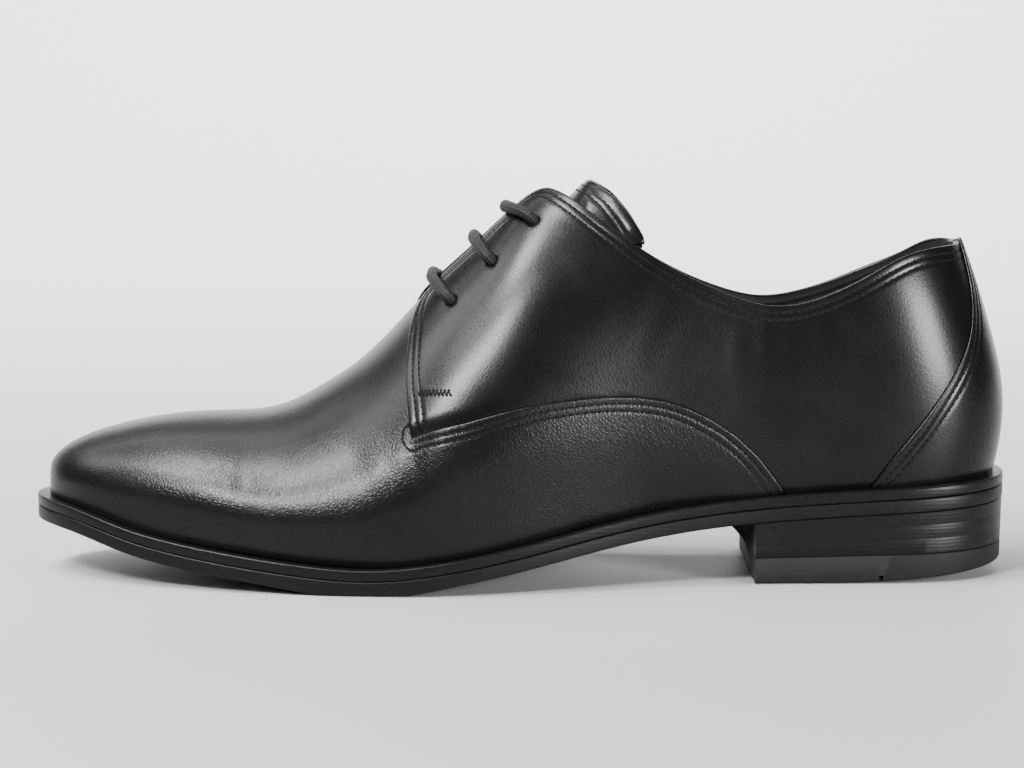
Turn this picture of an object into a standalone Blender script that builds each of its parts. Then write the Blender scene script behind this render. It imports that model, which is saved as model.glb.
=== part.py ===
"""A left dress shoe: a plain-toe derby on a leather sole, laced with three straight bars.

Lengths are in millimetres and become metres where a mesh is made. X runs from the toe (-X) to the
heel (+X), the outer side of the foot faces -Y, and the sole stands on Z = 0. "Along" is a share of
the sole's length, from 0 at the toe to 1 at the back of the heel. Outer is the side of the little
toe and inner the side of the big toe.
"""

import math

import bmesh
import bpy
import numpy as np

MM = 0.001

# The last and the sole.
SOLE_LENGTH = 303.0
BALL_WIDTH = 104.0
HEEL_WIDTH = 66.0
TOE_SPRING = 16.4
SEAT_RISE = 23.6
SOLE_DROP = 0.5
SOLE_FLAT_DEPTH = 0.7
TOE_ROUND = 46.0
HEEL_ROUND = 46.0
INSTEP_HEIGHT = 113.5
BACK_HEIGHT = 71.0
BACK_LEAN = 10.6
NOSE_HEIGHT = 6.5
NOSE_ROUND = 60.0

# Sole pieces.
OUTSOLE_THICKNESS = 4.1
WELT_THICKNESS = 3.1
WELT_WIDTH = 13.0
WELT_REVEAL = 4.2
EDGE_BEVEL = 0.7
INSOLE_THICKNESS = 3.0
HEEL_LENGTH = 80.0
HEEL_TAPER = 0.5
TOP_LIFT_FRONT = 7.6
TOP_LIFT_BACK = 9.2
HEEL_FLAT = 26.0
HEEL_ROLL = 3.6
BREAST_SCOOP = 13.5
BREAST_INSET = 12.0
LIFT_GROOVE_DEPTH = 1.8
LIFT_GROOVE_WIDTH = 1.4
LIFT_GROOVE_BACK = 41.5

# Upper pieces.
WALL = 2.2
OVERLAY = 1.4
OVERLAY_END = 0.15
OVERLAY_ROOT = 1.0
COUNTER_THICKNESS = 1.1
INNER_COLLAR_FRONT = -2.4
INNER_COLLAR_BACK = 3.6
THROAT_ALONG = 0.405
LACING_GAP = 12.6
TONGUE_THICKNESS = 2.4
TONGUE_WIDTH = 64.0
TONGUE_FRONT_ALONG = 0.375
TONGUE_TIP_ALONG = 0.5685
TONGUE_SIDE_SWEEP = 18.0

# Laces.
LACE_DIAMETER = 3.5
EYELET_DIAMETER = 4.8

CLEARANCE = 0.3

STATIONS = 39
GIRTH_STEPS = 12
SOLE_STATIONS = 36
LEATHER_BLACK = (0.012, 0.012, 0.013)
RUBBER_BLACK = (0.02, 0.019, 0.018)
INSOLE_TAN = (0.35, 0.22, 0.12)

# Half widths of the sole's edge, as shares of the local width, before the ends are rounded.
SOLE_PLAN = {
    "along": (0.00, 0.13, 0.20, 0.27, 0.34, 0.41, 0.48, 0.55, 0.62, 0.69, 0.77, 0.86, 1.00),
    "outer": (0.255, 0.370, 0.436, 0.483, 0.512, 0.519, 0.516, 0.509, 0.504, 0.514, 0.513, 0.504, 0.500),
    "inner": (0.250, 0.365, 0.418, 0.458, 0.479, 0.457, 0.402, 0.354, 0.351, 0.397, 0.462, 0.494, 0.500),
}
# Rise of the sole's underside above its lowest line, as shares of the toe spring and the seat rise.
SOLE_RISE = {
    "along": (0.00, 0.045, 0.10, 0.20, 0.28, 0.36, 0.43, 0.50, 0.57, 0.65, 0.74, 0.86, 1.00),
    "toe": (1.00, 0.91, 0.63, 0.28, 0.10, 0.00, 0.00, 0.00, 0.00, 0.00, 0.00, 0.00, 0.00),
    "seat": (0.00, 0.00, 0.00, 0.00, 0.00, 0.02, 0.12, 0.29, 0.49, 0.68, 0.81, 0.91, 1.00),
}
# Sections of the upper. Top is the ridge's height as a share of the instep height, reveal the welt
# that shows as a share of its largest, belly how far the side stands out past the feather line,
# belly_up where it does so as a share of the section's height, side and crown how full the curve
# is above the belly and at the ridge, and shift the ridge's place as a share of the ball width.
SECTIONS = {
    "along": (0.00, 0.13, 0.20, 0.25, 0.30, 0.34, 0.38, 0.42, 0.46, 0.50, 0.55, 0.62, 0.72, 0.86, 1.00),
    "top": (0.405, 0.421, 0.425, 0.440, 0.506, 0.582, 0.690, 0.803, 0.906, 1.008, 1.076, 1.115, 1.145, 1.145, 1.130),
    "reveal": (0.90, 0.95, 1.00, 1.00, 1.00, 1.00, 0.95, 0.90, 0.90, 0.95, 1.00, 1.05, 1.00, 0.95, 1.00),
    "belly_out": (1.00, 1.03, 1.04, 1.04, 1.04, 1.04, 1.03, 1.03, 1.03, 1.04, 1.05, 1.06, 1.06, 1.06, 1.06),
    "belly_in": (1.00, 1.03, 1.04, 1.05, 1.05, 1.05, 1.07, 1.10, 1.13, 1.16, 1.20, 1.20, 1.12, 1.06, 1.06),
    "belly_up": (0.30, 0.30, 0.28, 0.26, 0.24, 0.23, 0.23, 0.23, 0.24, 0.25, 0.25, 0.24, 0.22, 0.21, 0.21),
    "side": (0.50, 0.50, 0.46, 0.42, 0.38, 0.36, 0.36, 0.38, 0.42, 0.45, 0.52, 0.66, 0.76, 0.74, 0.66),
    "crown": (0.55, 0.60, 0.58, 0.54, 0.50, 0.48, 0.50, 0.52, 0.54, 0.55, 0.56, 0.58, 0.60, 0.58, 0.54),
    "shift": (0.00, 0.015, 0.03, 0.035, 0.035, 0.03, 0.02, 0.01, 0.005, 0.00, 0.00, 0.00, 0.00, 0.00, 0.00),
}
# The back curve: how far the back stands behind the feather line, as a share of its lean, at
# heights that are shares of the back height.
BACK_CURVE = {
    "up": (0.00, 0.15, 0.30, 0.45, 0.60, 0.80, 1.00, 1.40),
    "behind": (0.00, 0.19, 0.25, 0.14, -0.11, -0.52, -1.00, -2.10),
}
# Topline, with heights as shares of the instep height and of the back's top edge.
TOPLINE = {
    "along": (0.470, 0.495, 0.515, 0.535, 0.555, 0.585, 0.620, 0.665, 0.710, 0.755, 0.805, 0.865, 0.925, 0.965, 1.02),
    "instep": (1.18, 1.070, 1.036, 1.032, 1.005, 0.892, 0.600, 0.300, 0.000, 0.000, 0.000, 0.000, 0.000, 0.000, 0.000),
    "back": (0.00, 0.000, 0.000, 0.000, 0.000, 0.065, 0.318, 0.577, 0.860, 0.835, 0.862, 0.930, 0.995, 1.010, 1.015),
}
# Front edge of the facings in plan: how far along, at half widths that are shares of the ball width.
FACING_EDGE = {
    "across": (0.056, 0.066, 0.094, 0.134, 0.185, 0.240, 0.323, 0.363, 0.411, 0.460),
    "along": (0.4260, 0.4045, 0.3982, 0.3948, 0.3919, 0.3904, 0.3898, 0.3907, 0.3928, 0.3960),
}
# The eyelets from the lowest up: how far along, how far from the middle as a share of the ball
# width, and how far towards the toe the bar drifts on its way up to the middle, in millimetres.
EYELETS = {
    "along": (0.4328, 0.4725, 0.5140),
    "across": (0.225, 0.214, 0.188),
    "drift": (5.2, 4.6, 8.0),
}
# The seam where the vamp's wing lies on the quarter, with heights as shares of the instep height.
WING_SEAM = {
    "along": (0.375, 0.400, 0.430, 0.480, 0.540, 0.600, 0.640, 0.680, 0.710, 0.735, 0.765),
    "up": (0.385, 0.412, 0.433, 0.470, 0.500, 0.508, 0.495, 0.455, 0.405, 0.345, 0.240),
}
# The tongue's top edge from its tip: how far back and down, as shares of its side sweep.
TONGUE_TOP = {
    "back": (0.00, 0.36, 0.63, 0.84, 0.92, 1.00),
    "down": (0.00, 0.24, 0.55, 0.88, 1.15, 1.70),
}
# Front edge of the counter, with heights as shares of the back's top edge.
COUNTER_EDGE = {
    "up": (0.22, 0.27, 0.36, 0.47, 0.585, 0.70, 0.83, 0.92, 1.02, 1.12),
    "along": (0.838, 0.850, 0.872, 0.902, 0.930, 0.951, 0.958, 0.955, 0.946, 0.933),
}


def curve(table, key, column, places):
    """The natural cubic through a table's column, at places measured in its key column."""
    knots, values = np.array(table[key], float), np.array(table[column], float)
    gaps, count = np.diff(knots), len(knots)
    matrix, right = np.eye(count), np.zeros(count)
    slopes = np.diff(values) / gaps
    for i in range(1, count - 1):
        matrix[i, i - 1 : i + 2] = gaps[i - 1], 2 * (gaps[i - 1] + gaps[i]), gaps[i]
        right[i] = 6 * (slopes[i] - slopes[i - 1])
    bends = np.linalg.solve(matrix, right)
    places = np.clip(np.asarray(places, float), knots[0], knots[-1])
    i = np.clip(np.searchsorted(knots, places) - 1, 0, count - 2)
    a, b, h = knots[i + 1] - places, places - knots[i], gaps[i]
    return (
        (bends[i] * a**3 + bends[i + 1] * b**3) / (6 * h)
        + (values[i] / h - bends[i] * h / 6) * a
        + (values[i + 1] / h - bends[i + 1] * h / 6) * b
    )


def smooth(t):
    """A soft step from 0 at t = 0 to 1 at t = 1."""
    t = np.clip(t, 0.0, 1.0)
    return t * t * (3 - 2 * t)


def rounded_end(distance, reach):
    """The share of its full size that an outline has at a distance from its round end."""
    return np.sqrt(1 - (1 - np.clip(distance / reach, 0.0, 1.0)) ** 3)


def spread(count):
    """Shares from 0 to 1 that crowd towards both ends, where outlines turn fastest."""
    return (1 - np.cos(np.linspace(0, math.pi, count + 1))) / 2


def x_at(along):
    return (np.asarray(along) - 0.5) * SOLE_LENGTH


def along_at(x):
    return np.asarray(x) / SOLE_LENGTH + 0.5


def local_width(along):
    return BALL_WIDTH + (HEEL_WIDTH - BALL_WIDTH) * smooth((along - 0.40) / 0.37)


def half_width(along, side, inset=0.0, end_insets=None):
    """Distance from the long axis to the sole's edge, or to a line that far inside it."""
    along = np.asarray(along, float)
    toe_inset, heel_inset = end_insets or (inset, inset)
    full = curve(SOLE_PLAN, "along", side, along) * local_width(along) - inset
    from_toe = along * SOLE_LENGTH - toe_inset
    from_heel = (1 - along) * SOLE_LENGTH - heel_inset
    return full * rounded_end(from_toe, TOE_ROUND) * rounded_end(from_heel, HEEL_ROUND)


def sole_under(along):
    """Height of the sole's underside, before the tread that touches the ground is flattened."""
    toe = TOE_SPRING * curve(SOLE_RISE, "along", "toe", along)
    seat = SEAT_RISE * curve(SOLE_RISE, "along", "seat", along)
    return toe + seat - SOLE_DROP


def outsole_top(along):
    return sole_under(along) + OUTSOLE_THICKNESS


def feather_height(along):
    """Height of the welt's top, where the upper meets it."""
    return outsole_top(along) + CLEARANCE + WELT_THICKNESS


def back_top():
    """Height of the topline at the back of the heel."""
    return float(feather_height(1.0)) + BACK_HEIGHT


def reveal(along):
    return WELT_REVEAL * curve(SECTIONS, "along", "reveal", along)


def section_column(name, along):
    return curve(SECTIONS, "along", name, along)


def bezier(a, b, c, d, t):
    return a * (1 - t) ** 3 + 3 * b * t * (1 - t) ** 2 + 3 * c * t**2 * (1 - t) + d * t**3


def half_section(along, side, steps, reach=None):
    """Points of one half of the upper's section, from the feather line, or from as far as reach
    is from the ridge, up to the ridge."""
    sign = -1 if side == "outer" else 1
    inset, end_insets = float(reveal(along)), (float(reveal(0.0)), float(reveal(1.0)))
    foot = float(half_width(along, side, inset, end_insets))
    belly = foot * float(section_column("belly_out" if side == "outer" else "belly_in", along))
    low = float(feather_height(along)) + CLEARANCE
    height = INSTEP_HEIGHT * float(section_column("top", along)) - low
    from_nose = along * SOLE_LENGTH - end_insets[0]
    high = low + NOSE_HEIGHT + (height - NOSE_HEIGHT) * float(rounded_end(from_nose, NOSE_ROUND))
    belly_up = low + (high - low) * float(section_column("belly_up", along))
    ridge = sign * BALL_WIDTH * float(section_column("shift", along)) * float(
        rounded_end(from_nose, NOSE_ROUND)
    )
    side_full, crown = float(section_column("side", along)), float(section_column("crown", along))
    t = np.linspace(0, 1, 40)
    lower = [
        bezier(foot, foot + 0.75 * (belly - foot), belly, belly, t),
        bezier(low, low + 0.15 * (belly_up - low), belly_up - 0.45 * (belly_up - low), belly_up, t),
    ]
    upper = [
        bezier(belly, belly, ridge + crown * (belly - ridge), ridge, t),
        bezier(belly_up, belly_up + side_full * (high - belly_up), high, high, t),
    ]
    y = np.concatenate([lower[0], upper[0][1:]])
    z = np.concatenate([lower[1], upper[1][1:]])
    length = np.concatenate([[0], np.cumsum(np.hypot(np.diff(y), np.diff(z)))])
    if length[-1] == 0:
        length = np.linspace(0, 1, len(length))
    first = 0.0 if reach is None else max(length[-1] - reach, 0.0)
    even = np.linspace(first, length[-1], steps + 1)
    y, z = np.interp(even, length, y), np.interp(even, length, z)
    up = np.clip((z - low) / BACK_HEIGHT, 0, 1.4)
    pull = smooth((along - 0.62) / 0.38) ** 1.5
    x = x_at(along) + BACK_LEAN * curve(BACK_CURVE, "up", "behind", up) * pull
    return np.stack([x, sign * y, z], axis=1)


def form_alongs(first=None, last=None, stations=STATIONS):
    """Stations of the upper, crowded at the toe and the heel, from one share along to another."""
    front = float(reveal(0.0)) / SOLE_LENGTH
    back = 1 - float(reveal(1.0)) / SOLE_LENGTH
    places = front + (back - front) * spread(stations)
    if first is not None:
        places = places[(places > first) & (places < last)]
        places = np.concatenate([[first], places, [last]])
    return places


def form_grid(alongs, steps=GIRTH_STEPS, reaches=None):
    """Rows of points across the upper, each from the outer feather line over to the inner one, or
    only as far down each side as the reaches say."""
    rows = []
    for i, along in enumerate(alongs):
        reach = None if reaches is None else reaches[i]
        outer = half_section(along, "outer", steps, reach)
        inner = half_section(along, "inner", steps, reach)
        rows.append(np.concatenate([outer, inner[-2::-1]]))
    return np.array(rows)


def grid_faces(rows, columns, start=0):
    """Faces of a grid of points that are numbered row by row."""
    faces = []
    for i in range(rows - 1):
        for j in range(columns - 1):
            a = start + i * columns + j
            faces.append((a, a + columns, a + columns + 1, a + 1))
    return faces


def grid_normals(grid):
    """Unit normals of a grid, out of the shoe. Its end rows may be folded onto a line."""
    along = np.gradient(grid, axis=0)
    across = np.gradient(grid, axis=1)
    normals = np.cross(along, across)
    normals /= np.maximum(np.linalg.norm(normals, axis=2, keepdims=True), 1e-9)
    return normals


def folded_normals(grid, folds):
    """Normals that point straight out along X in the rows folded at the nose and the back."""
    normals = grid_normals(grid)
    for row, beside, direction in ((0, 1, -1.0), (-1, -2, 1.0)):
        if row not in folds:
            continue
        rise = (normals[beside, :, 2] + normals[beside, ::-1, 2]) / 2
        normals[row] = np.stack([direction * np.sqrt(1 - rise**2), 0 * rise, rise], axis=1)
    return normals


def middle_line():
    """How far the last's middle line lies from the middle of the shoe's width: the ball stands
    out further on the outer side."""
    places = spread(SOLE_STATIONS)
    return 0.5 * float(half_width(places, "outer").max() - half_width(places, "inner").max())


def mesh_object(name, points, faces, weld=True, hidden=False):
    """An object from points in millimetres about the last's middle line. A hidden one is a
    cutter or a guide."""
    mesh = bpy.data.meshes.new(name)
    placed = np.asarray(points, float) + (0.0, middle_line(), 0.0)
    mesh.from_pydata([tuple(p * MM) for p in placed], [], faces)
    work = bmesh.new()
    work.from_mesh(mesh)
    if weld:
        bmesh.ops.remove_doubles(work, verts=work.verts, dist=1e-6)
        bmesh.ops.dissolve_degenerate(work, edges=work.edges, dist=1e-6)
    bmesh.ops.triangulate(work, faces=work.faces)
    bmesh.ops.recalc_face_normals(work, faces=work.faces)
    work.to_mesh(mesh)
    work.free()
    made = bpy.data.objects.new(name, mesh)
    bpy.context.scene.collection.objects.link(made)
    made.hide_render = hidden
    made.display_type = "WIRE" if hidden else "TEXTURED"
    return made


def boolean(target, operation, other):
    cut = target.modifiers.new(other.name, "BOOLEAN")
    cut.operation = operation
    cut.solver = "EXACT"
    cut.object = other
    return cut


def shell(name, grid, inner, outer, folds=(), hidden=False):
    """A wall between two offsets of a grid, in millimetres outwards, each a number or a grid.
    Folds names the end rows, 0 or -1, whose two halves meet on one line."""
    normals = folded_normals(grid, folds)
    rows, columns = grid.shape[:2]
    skins = [grid + normals * np.asarray(depth, float)[..., None] for depth in (inner, outer)]
    points = np.concatenate([skin.reshape(-1, 3) for skin in skins])
    offset = rows * columns
    inside = [tuple(reversed(face)) for face in grid_faces(rows, columns)]
    outside = grid_faces(rows, columns, offset)
    rim = [i * columns for i in range(rows)] + [(rows - 1) * columns + j for j in range(1, columns)]
    rim += [i * columns + columns - 1 for i in range(rows - 2, -1, -1)]
    rim += [j for j in range(columns - 2, 0, -1)]
    folded_rows = [row % rows for row in folds]
    walls = []
    for a, b in zip(rim, rim[1:] + rim[:1]):
        if a // columns == b // columns and a // columns in folded_rows:
            continue
        walls.append((a, b, b + offset, a + offset))
    return mesh_object(name, points, inside + outside + walls, hidden=hidden)


def side_prism(name, outline, y_low, y_high, far_outline=None):
    """A block with an outline seen from the side, as (x, z) points, from one y to another, where
    it may have another outline of as many points."""
    count = len(outline)
    near = [(x, y_low, z) for x, z in outline]
    far = [(x, y_high, z) for x, z in far_outline or outline]
    walls = [(i, (i + 1) % count, (i + 1) % count + count, i + count) for i in range(count)]
    caps = [tuple(range(count)), tuple(range(2 * count - 1, count - 1, -1))]
    return mesh_object(name, near + far, walls + caps, hidden=True)


def plan_prism(name, outline, low, high):
    """A block with an outline seen from above, as (x, y) points, from one height to another."""
    count = len(outline)
    points = [(x, y, low) for x, y in outline] + [(x, y, high) for x, y in outline]
    walls = [(i, (i + 1) % count, (i + 1) % count + count, i + count) for i in range(count)]
    caps = [tuple(range(count)), tuple(range(2 * count - 1, count - 1, -1))]
    return mesh_object(name, points, walls + caps, hidden=True)


def topline_height(along):
    instep = INSTEP_HEIGHT * curve(TOPLINE, "along", "instep", along)
    return instep + back_top() * curve(TOPLINE, "along", "back", along)


def collar_cutter(name):
    """What is cut away above the topline, whose inner side is lower in front and higher behind."""
    alongs = np.linspace(TOPLINE["along"][0], TOPLINE["along"][-1], 44)
    heights = topline_height(alongs)
    step = INNER_COLLAR_BACK - INNER_COLLAR_FRONT
    rises = INNER_COLLAR_FRONT + step * smooth((alongs - 0.62) / 0.2)
    places, roof = x_at(alongs), INSTEP_HEIGHT * 1.5
    corners = [(places[-1], roof), (places[0], roof)]
    near = list(zip(places, heights - rises)) + corners
    far = list(zip(places, heights + rises)) + corners
    return side_prism(name, near, -HEEL_WIDTH, HEEL_WIDTH, far_outline=far)


def throat_cutter(name, front_along):
    """The gap between the facings, with a round front end."""
    half = LACING_GAP / 2
    front, back = float(x_at(front_along)) + half, float(x_at(0.62))
    turns = np.linspace(-math.pi / 2, -3 * math.pi / 2, 9)
    outline = [(front + half * math.cos(a), half * math.sin(a)) for a in turns]
    outline += [(back, half), (back, -half)]
    return plan_prism(name, outline, INSTEP_HEIGHT * 0.5, INSTEP_HEIGHT * 1.5)


def surface_point(along, across, depth=0.0):
    """A point on top of the upper at a share along and a y, and the way out of the surface there."""
    steps = 60
    step = 0.004

    def height(a, y):
        section = np.concatenate([half_section(a, "outer", steps), half_section(a, "inner", steps)[-2::-1]])
        return float(np.interp(y, section[:, 1], section[:, 2]))

    rise_along = (height(along + step, across) - height(along - step, across)) / (2 * step * SOLE_LENGTH)
    rise_across = height(along, across + 1.0) - height(along, across - 1.0)
    out = np.array([-rise_along, -rise_across / 2, 1.0])
    out /= np.linalg.norm(out)
    point = np.array([float(x_at(along)), across, height(along, across)])
    return point + out * depth, out


def facing_lift(grid):
    """How far the facing stands proud of the vamp: most at its front edge, less further back."""
    x, y, z = grid[..., 0], np.abs(grid[..., 1]), grid[..., 2]
    front = x_at(curve(FACING_EDGE, "across", "along", y / BALL_WIDTH))
    back = 1 - smooth((x - front) / 44.0)
    seam = INSTEP_HEIGHT * curve(WING_SEAM, "along", "up", along_at(x))
    return OVERLAY_END + (OVERLAY - OVERLAY_END) * back * smooth((z - seam + 3) / 14.0)


def wing_lift(grid):
    """How far the vamp's wing stands proud of the quarter: most at its seam."""
    x, z = grid[..., 0], grid[..., 2]
    seam = INSTEP_HEIGHT * curve(WING_SEAM, "along", "up", along_at(x))
    low = 1 - smooth((seam - z) / 26.0)
    start = smooth((along_at(x) - 0.378) / 0.05)
    return OVERLAY_END + (OVERLAY - OVERLAY_END) * low * start


def facing_overlay():
    grid = form_grid(form_alongs(0.36, 0.56))
    made = shell("facing_overlay", grid, -OVERLAY_ROOT, facing_lift(grid), hidden=True)
    across = np.linspace(FACING_EDGE["across"][0], FACING_EDGE["across"][-1], 26)
    edge = [(float(x), w * BALL_WIDTH) for x, w in zip(x_at(curve(FACING_EDGE, "across", "along", across)), across)]
    back = float(x_at(0.545))
    half = edge[0][1]
    outline = [(back, half)] + edge + [(back, edge[-1][1])]
    inner = plan_prism("facing_inner_outline", outline, 0, INSTEP_HEIGHT * 1.5)
    outer = plan_prism("facing_outer_outline", [(x, -y) for x, y in outline], 0, INSTEP_HEIGHT * 1.5)
    boolean(inner, "UNION", outer)
    alongs = np.linspace(WING_SEAM["along"][0], 0.56, 20)
    seam = [(float(x_at(a)), INSTEP_HEIGHT * float(curve(WING_SEAM, "along", "up", a)) + CLEARANCE) for a in alongs]
    roof = INSTEP_HEIGHT * 1.5
    above = side_prism("above_seam", seam + [(seam[-1][0], roof), (seam[0][0], roof)], -BALL_WIDTH, BALL_WIDTH)
    boolean(made, "INTERSECT", inner)
    boolean(made, "INTERSECT", above)
    return made


def wing_overlay():
    grid = form_grid(form_alongs(0.37, 0.78))
    made = shell("wing_overlay", grid, -OVERLAY_ROOT, wing_lift(grid), hidden=True)
    alongs = np.linspace(0.38, WING_SEAM["along"][-1], 34)
    seam = [(float(x_at(a)), INSTEP_HEIGHT * float(curve(WING_SEAM, "along", "up", a))) for a in alongs]
    low = [(x, float(feather_height(along_at(x))) + 3 * CLEARANCE) for x, _ in seam]
    kept = [i for i in range(len(seam)) if seam[i][1] > low[i][1] + CLEARANCE]
    seam, low = [seam[i] for i in kept], [low[i] for i in reversed(kept)]
    below = side_prism("below_seam", seam + low, -BALL_WIDTH, BALL_WIDTH)
    boolean(made, "INTERSECT", below)
    return made


def eyelet_places():
    """The (along, y, drift) of each eyelet on the outer side, lowest first."""
    return [(a, -w * BALL_WIDTH, d) for a, w, d in zip(*(EYELETS[c] for c in ("along", "across", "drift")))]


def eyelet_cutters():
    """Six drills that go square through the facings."""
    points, faces = [], []
    sides = 14
    for along, y, _ in eyelet_places():
        for sign in (1, -1):
            centre, out = surface_point(along, sign * y)
            across = np.cross(out, [1.0, 0.0, 0.0])
            across /= np.linalg.norm(across)
            other = np.cross(out, across)
            base = len(points)
            for depth in (-2 * WALL, 2 * WALL):
                for k in range(sides):
                    turn = 2 * math.pi * k / sides
                    ring = across * math.cos(turn) + other * math.sin(turn)
                    points.append(centre + out * depth + ring * EYELET_DIAMETER / 2)
            faces += [(base + k, base + (k + 1) % sides, base + sides + (k + 1) % sides, base + sides + k) for k in range(sides)]
            faces += [tuple(base + k for k in range(sides)), tuple(base + 2 * sides - 1 - k for k in range(sides))]
    return mesh_object("eyelet_drills", points, faces, hidden=True)


def make_upper():
    upper = shell("upper", form_grid(form_alongs()), -WALL, 0.0, folds=(0, -1))
    boolean(upper, "UNION", wing_overlay())
    boolean(upper, "UNION", facing_overlay())
    boolean(upper, "DIFFERENCE", throat_cutter("throat_gap", THROAT_ALONG))
    boolean(upper, "DIFFERENCE", collar_cutter("collar_opening"))
    boolean(upper, "DIFFERENCE", eyelet_cutters())
    return upper


def make_counter():
    """The leather over the back of the heel."""
    grid = form_grid(form_alongs()[-17:])
    counter = shell("counter", grid, CLEARANCE, CLEARANCE + COUNTER_THICKNESS, folds=(-1,))
    ups = np.linspace(COUNTER_EDGE["up"][0], COUNTER_EDGE["up"][-1], 22)
    edge = list(zip(x_at(curve(COUNTER_EDGE, "up", "along", ups)), ups * back_top()))
    front = float(x_at(0.5))
    outline = [(front, edge[0][1] - BACK_HEIGHT)] + [(edge[0][0], edge[0][1] - BACK_HEIGHT)] + edge
    outline += [(edge[-1][0], INSTEP_HEIGHT * 1.6), (front, INSTEP_HEIGHT * 1.6)]
    boolean(counter, "DIFFERENCE", side_prism("ahead_of_counter", outline, -BALL_WIDTH, BALL_WIDTH))
    boolean(counter, "DIFFERENCE", collar_cutter("counter_top"))
    alongs = np.linspace(0.6, 1.03, 20)
    floor = [(float(x_at(a)), float(feather_height(min(a, 1.0))) + 2 * CLEARANCE) for a in alongs]
    outline = floor + [(floor[-1][0], -BACK_HEIGHT), (floor[0][0], -BACK_HEIGHT)]
    boolean(counter, "DIFFERENCE", side_prism("under_counter", outline, -BALL_WIDTH, BALL_WIDTH))
    return counter


def tongue_depth(along):
    """How deep the tongue's face lies: close under the vamp, clear of the laces, then close
    under the quarters again where it stands out of the collar."""
    sink = smooth((along - TONGUE_FRONT_ALONG - 0.003) / 0.035) * (1 - smooth((along - 0.534) / 0.035))
    return -(WALL + 2 * CLEARANCE + (LACE_DIAMETER + CLEARANCE) * sink)


def make_tongue():
    alongs = np.linspace(TONGUE_FRONT_ALONG, TONGUE_TIP_ALONG + 0.07, 20)
    reaches = np.interp(alongs, [alongs[0], TONGUE_TIP_ALONG], [0.36 * TONGUE_WIDTH, 0.58 * TONGUE_WIDTH])
    grid = form_grid(alongs, steps=7, reaches=reaches)
    face = tongue_depth(alongs)[:, None] * np.ones(grid.shape[1])
    tongue = shell("tongue", grid, face - TONGUE_THICKNESS, face)
    tip = surface_point(TONGUE_TIP_ALONG, 0.0, float(tongue_depth(TONGUE_TIP_ALONG)))[0]
    sweep = TONGUE_SIDE_SWEEP
    outline = [(tip[0] + sweep * b, tip[2] - sweep * d) for b, d in zip(TONGUE_TOP["back"], TONGUE_TOP["down"])]
    far, high = tip[0] + 9 * sweep, tip[2] + sweep
    outline += [(far, outline[-1][1]), (far, high), (tip[0] - 0.55 * sweep, high)]
    boolean(tongue, "DIFFERENCE", side_prism("behind_tongue", outline, -BALL_WIDTH, BALL_WIDTH))
    return tongue


def lift_at(point):
    return float(facing_lift(np.array(point)[None, None])[0, 0])


def over_facing(along, y, depth):
    """A point above, or below, the facing's own surface."""
    base, out = surface_point(along, y)
    return base + out * (depth + lift_at(base) if depth > 0 else depth)


def lace_corners():
    """The lace's centre line: three bars on top, and hidden runs under one facing at a time."""
    over = LACE_DIAMETER / 2 + CLEARANCE
    under = -(WALL + LACE_DIAMETER / 2 + CLEARANCE)
    edge = LACING_GAP / 2 + CLEARANCE
    path = []
    places = eyelet_places()
    for k, (along, y, drift) in enumerate(places):
        first = y if k % 2 == 0 else -y
        stops = [share * abs(y) for share in (1.0, 0.8, 0.6)] + [edge]
        stops = [s * math.copysign(1, first) for s in stops + [-s for s in reversed(stops)]]
        depth = under if k else 0.75 * under
        path.append((over_facing(along, first, depth), k > 0))
        for i, stop in enumerate(stops):
            ahead = drift * (1 - (stop / y) ** 2) / SOLE_LENGTH
            path.append((over_facing(along - ahead, stop, over), i in (0, len(stops) - 1)))
        depth = under if k < len(places) - 1 else 0.75 * under
        path.append((over_facing(along, -first, depth), k < len(places) - 1))
    return path


def rounded_path(corners, radius, turns=4):
    """A line through corners, each marked one turned into an arc."""
    line = [np.array(corners[0][0])]
    for (a, _), (b, turned), (c, _) in zip(corners, corners[1:], corners[2:]):
        if not turned:
            line.append(np.array(b))
            continue
        before, after = a - b, c - b
        reach_in, reach_out = np.linalg.norm(before), np.linalg.norm(after)
        before, after = before / reach_in, after / reach_out
        angle = math.acos(float(np.clip(before @ after, -1, 1)))
        cut = min(radius / math.tan(angle / 2), 0.49 * reach_in, 0.49 * reach_out)
        middle = (before + after) / np.linalg.norm(before + after)
        centre = b + middle * math.hypot(cut, cut * math.tan(angle / 2))
        start, end = b + before * cut - centre, b + after * cut - centre
        spin = math.acos(float(np.clip(start @ end / (start @ start), -1, 1)))
        for k in range(turns + 1):
            t = k / turns
            arm = (math.sin((1 - t) * spin) * start + math.sin(t * spin) * end) / math.sin(spin)
            line.append(centre + arm)
    line.append(np.array(corners[-1][0]))
    return np.array(line)


def tube(name, line, radius, sides=8):
    """A round bar along a line of points, with flat ends."""
    count = len(line)
    ways = np.gradient(line, axis=0)
    ways /= np.linalg.norm(ways, axis=1, keepdims=True)
    across = np.cross(ways[0], [1.0, 0.3, 0.2])
    points = []
    for way, centre in zip(ways, line):
        across = across - way * (across @ way)
        across /= np.linalg.norm(across)
        other = np.cross(way, across)
        for k in range(sides):
            turn = 2 * math.pi * k / sides
            points.append(centre + radius * (across * math.cos(turn) + other * math.sin(turn)))
    faces = [
        (i * sides + k, i * sides + (k + 1) % sides, (i + 1) * sides + (k + 1) % sides, (i + 1) * sides + k)
        for i in range(count - 1)
        for k in range(sides)
    ]
    faces += [tuple(range(sides - 1, -1, -1)), tuple((count - 1) * sides + k for k in range(sides))]
    return mesh_object(name, points, faces)


def make_lace():
    line = rounded_path(lace_corners(), LACE_DIAMETER / 2 + CLEARANCE)
    return tube("lace", line, LACE_DIAMETER / 2)


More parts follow.
